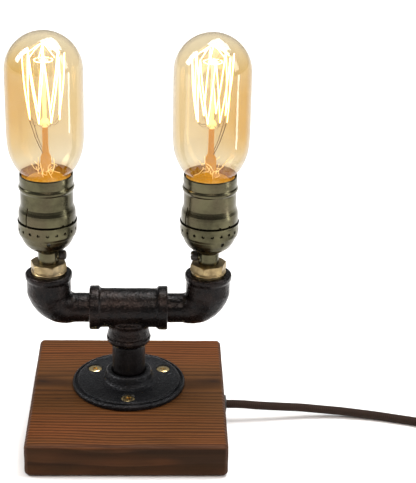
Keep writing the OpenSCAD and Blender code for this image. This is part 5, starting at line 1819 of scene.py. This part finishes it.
def make_rocker():
    prof = [(-7.9, -1.2), (-4, -2.4), (4, -2.4), (7.9, -1.2), (8.1, 4.6), (6.6, 4.15), (4.2, 3.7), (2.0, 3.45),
            (0, 3.4), (-2.0, 3.45), (-4.2, 3.7), (-6.6, 4.15), (-8.1, 4.6)]
    prof = fillet([(p[0], p[1], 0.5 if abs(p[0]) > 7 else 0.2) for p in prof], 0.3, 4)
    n = len(prof)
    verts, faces = [], []
    ys = (-5.2, -4.95, 4.95, 5.2)
    cen = np.mean(np.array(prof), 0)
    for y in ys:
        sc = 0.97 if abs(y) > 5.1 else 1.0
        for p in prof:
            q = cen + (np.array(p) - cen) * sc
            verts.append((q[0], y, q[1]))
    for i in range(3):
        for k in range(n):
            faces.append((i * n + k, i * n + (k + 1) % n, (i + 1) * n + (k + 1) % n, (i + 1) * n + k))
    faces.append(tuple(range(n)))
    faces.append(tuple(3 * n + k for k in range(n))[::-1])
    ob = mk("rocker_key", verts, faces, ROCKER, 40)
    pin = cyl(1.2, 14.8, 32, -7.4)
    boolean(ob, (move(pin[0], R("X", -90)), pin[1]), "UNION", 40)
    # plain ridges for the finger, no marks
    cut = []
    for x in (-5.4, -4.2, -3.0, 3.0, 4.2, 5.4):
        c = cyl(0.28, 8.0, 12, -4)
        z = 3.4 + 0.7 * (abs(x) / 6.6) ** 1.5
        cut.append((move(c[0], T(x, 0, z + 0.12) @ R("X", -90)), c[1]))
    boolean(ob, join_raw(cut), "DIFFERENCE", 40)
    set_coords(ob, move(coords(ob), SWM @ T(0, 0, 14.9) @ R("Y", 9)))
    set_mat(ob, ROCKER)
    return ob


rocker = make_rocker()
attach(rocker, "rocker")
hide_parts("switch_rocker")


# =====================================================================
# CAD nodes that stay, with their finishes
# =====================================================================

STAY = {
    "bottom_plate": PLATE, "plate_screws": PLATE_STEEL, "wire_connectors": CONNECTOR, "inner_cord": WIRE,
    "supply_wires": WIRE, "switch_contacts": CONTACT, "switch_screws": STEEL,
}
for side_name in ("left", "right"):
    for n_, mt in (("lamp_nipple", BRASS), ("wires", WIRE), ("socket_core", INSULATOR), ("centre_contact", CONTACT),
                   ("terminal_screws", CONTACT), ("screw_shell", SHELL_METAL), ("shell_liner", LINER),
                   ("bulb_tip", CAP_BLACK)):
        STAY[side_name + "_" + n_] = mt
for n_, mt in STAY.items():
    ob = NODES[n_]
    if not ob.material_slots:
        ob.data.materials.append(mt)
    for sl in ob.material_slots:
        sl.material = mt


# =====================================================================
# Stage and light
# =====================================================================

def make_floor():
    v, f = lathe([(0, 0), (6000, 0), (6000, -4), (0, -4)], 96, closed=False)
    M_ = Mat("floor_paper", (0.86, 0.86, 0.86), 0.85)
    n = M_.noise(40, 3, 0.5)
    M_.set("Base Color", M_.mix(n, (0.85, 0.85, 0.85), (0.87, 0.87, 0.87)))
    # the paper brightens towards its far edge, like a backdrop with its own light
    x, y, z = M_.xyz()
    far = M_.math("SQRT", M_.math("ADD", M_.math("MULTIPLY", x, x), M_.math("MULTIPLY", y, y)))
    M_.set("Emission Color", (1.0, 1.0, 1.0))
    M_.set("Emission Strength", M_.span(far, 0.45, 1.5, 0.0, 0.85))
    ob = mk("floor", v, f, M_.m, 40)
    return ob


floor = make_floor()

world = bpy.data.worlds.new("studio")
SCENE.world = world
world.use_nodes = True
wt = world.node_tree
wt.nodes.clear()
wo = wt.nodes.new("ShaderNodeOutputWorld")
bg_light = wt.nodes.new("ShaderNodeBackground")
bg_seen = wt.nodes.new("ShaderNodeBackground")
lp = wt.nodes.new("ShaderNodeLightPath")
wm = wt.nodes.new("ShaderNodeMixShader")
bg_light.inputs[0].default_value = (1.0, 1.0, 1.0, 1)
bg_light.inputs[1].default_value = 0.22
bg_seen.inputs[0].default_value = (1.0, 1.0, 1.0, 1)
bg_seen.inputs[1].default_value = 1.0
wt.links.new(lp.outputs["Is Camera Ray"], wm.inputs[0])
wt.links.new(bg_light.outputs[0], wm.inputs[1])
wt.links.new(bg_seen.outputs[0], wm.inputs[2])
wt.links.new(wm.outputs[0], wo.inputs[0])


def softbox(name, loc, target, w, h, power, color=(1, 1, 1)):
    ld = bpy.data.lights.new(name, "AREA")
    ld.shape = "RECTANGLE"
    ld.size, ld.size_y = w, h
    ld.energy = power
    ld.color = color
    ob = bpy.data.objects.new(name, ld)
    SCENE.collection.objects.link(ob)
    ob.location = loc
    d = Vector(target) - Vector(loc)
    ob.rotation_euler = d.to_track_quat("-Z", "Y").to_euler()
    return ob


softbox("top_box", (0.35, 0.34, 1.5), (0, 0, 0.1), 1.0, 0.85, 30)
softbox("left_box", (-1.1, 0.0, 1.0), (0, 0, 0.12), 0.40, 0.9, 17)
softbox("right_box", (1.25, -0.35, 0.85), (0, 0, 0.12), 0.4, 0.9, 6.5)
softbox("front_box", (0.10, -1.35, 1.6), (0, 0, 0.1), 0.9, 0.34, 15, (1.0, 0.84, 0.75))

streak = softbox("streak_box", (0.43, -0.09, 0.13), (0.0, 0.0, 0.17), 0.045, 0.20, 0.28)
streak.visible_camera = False
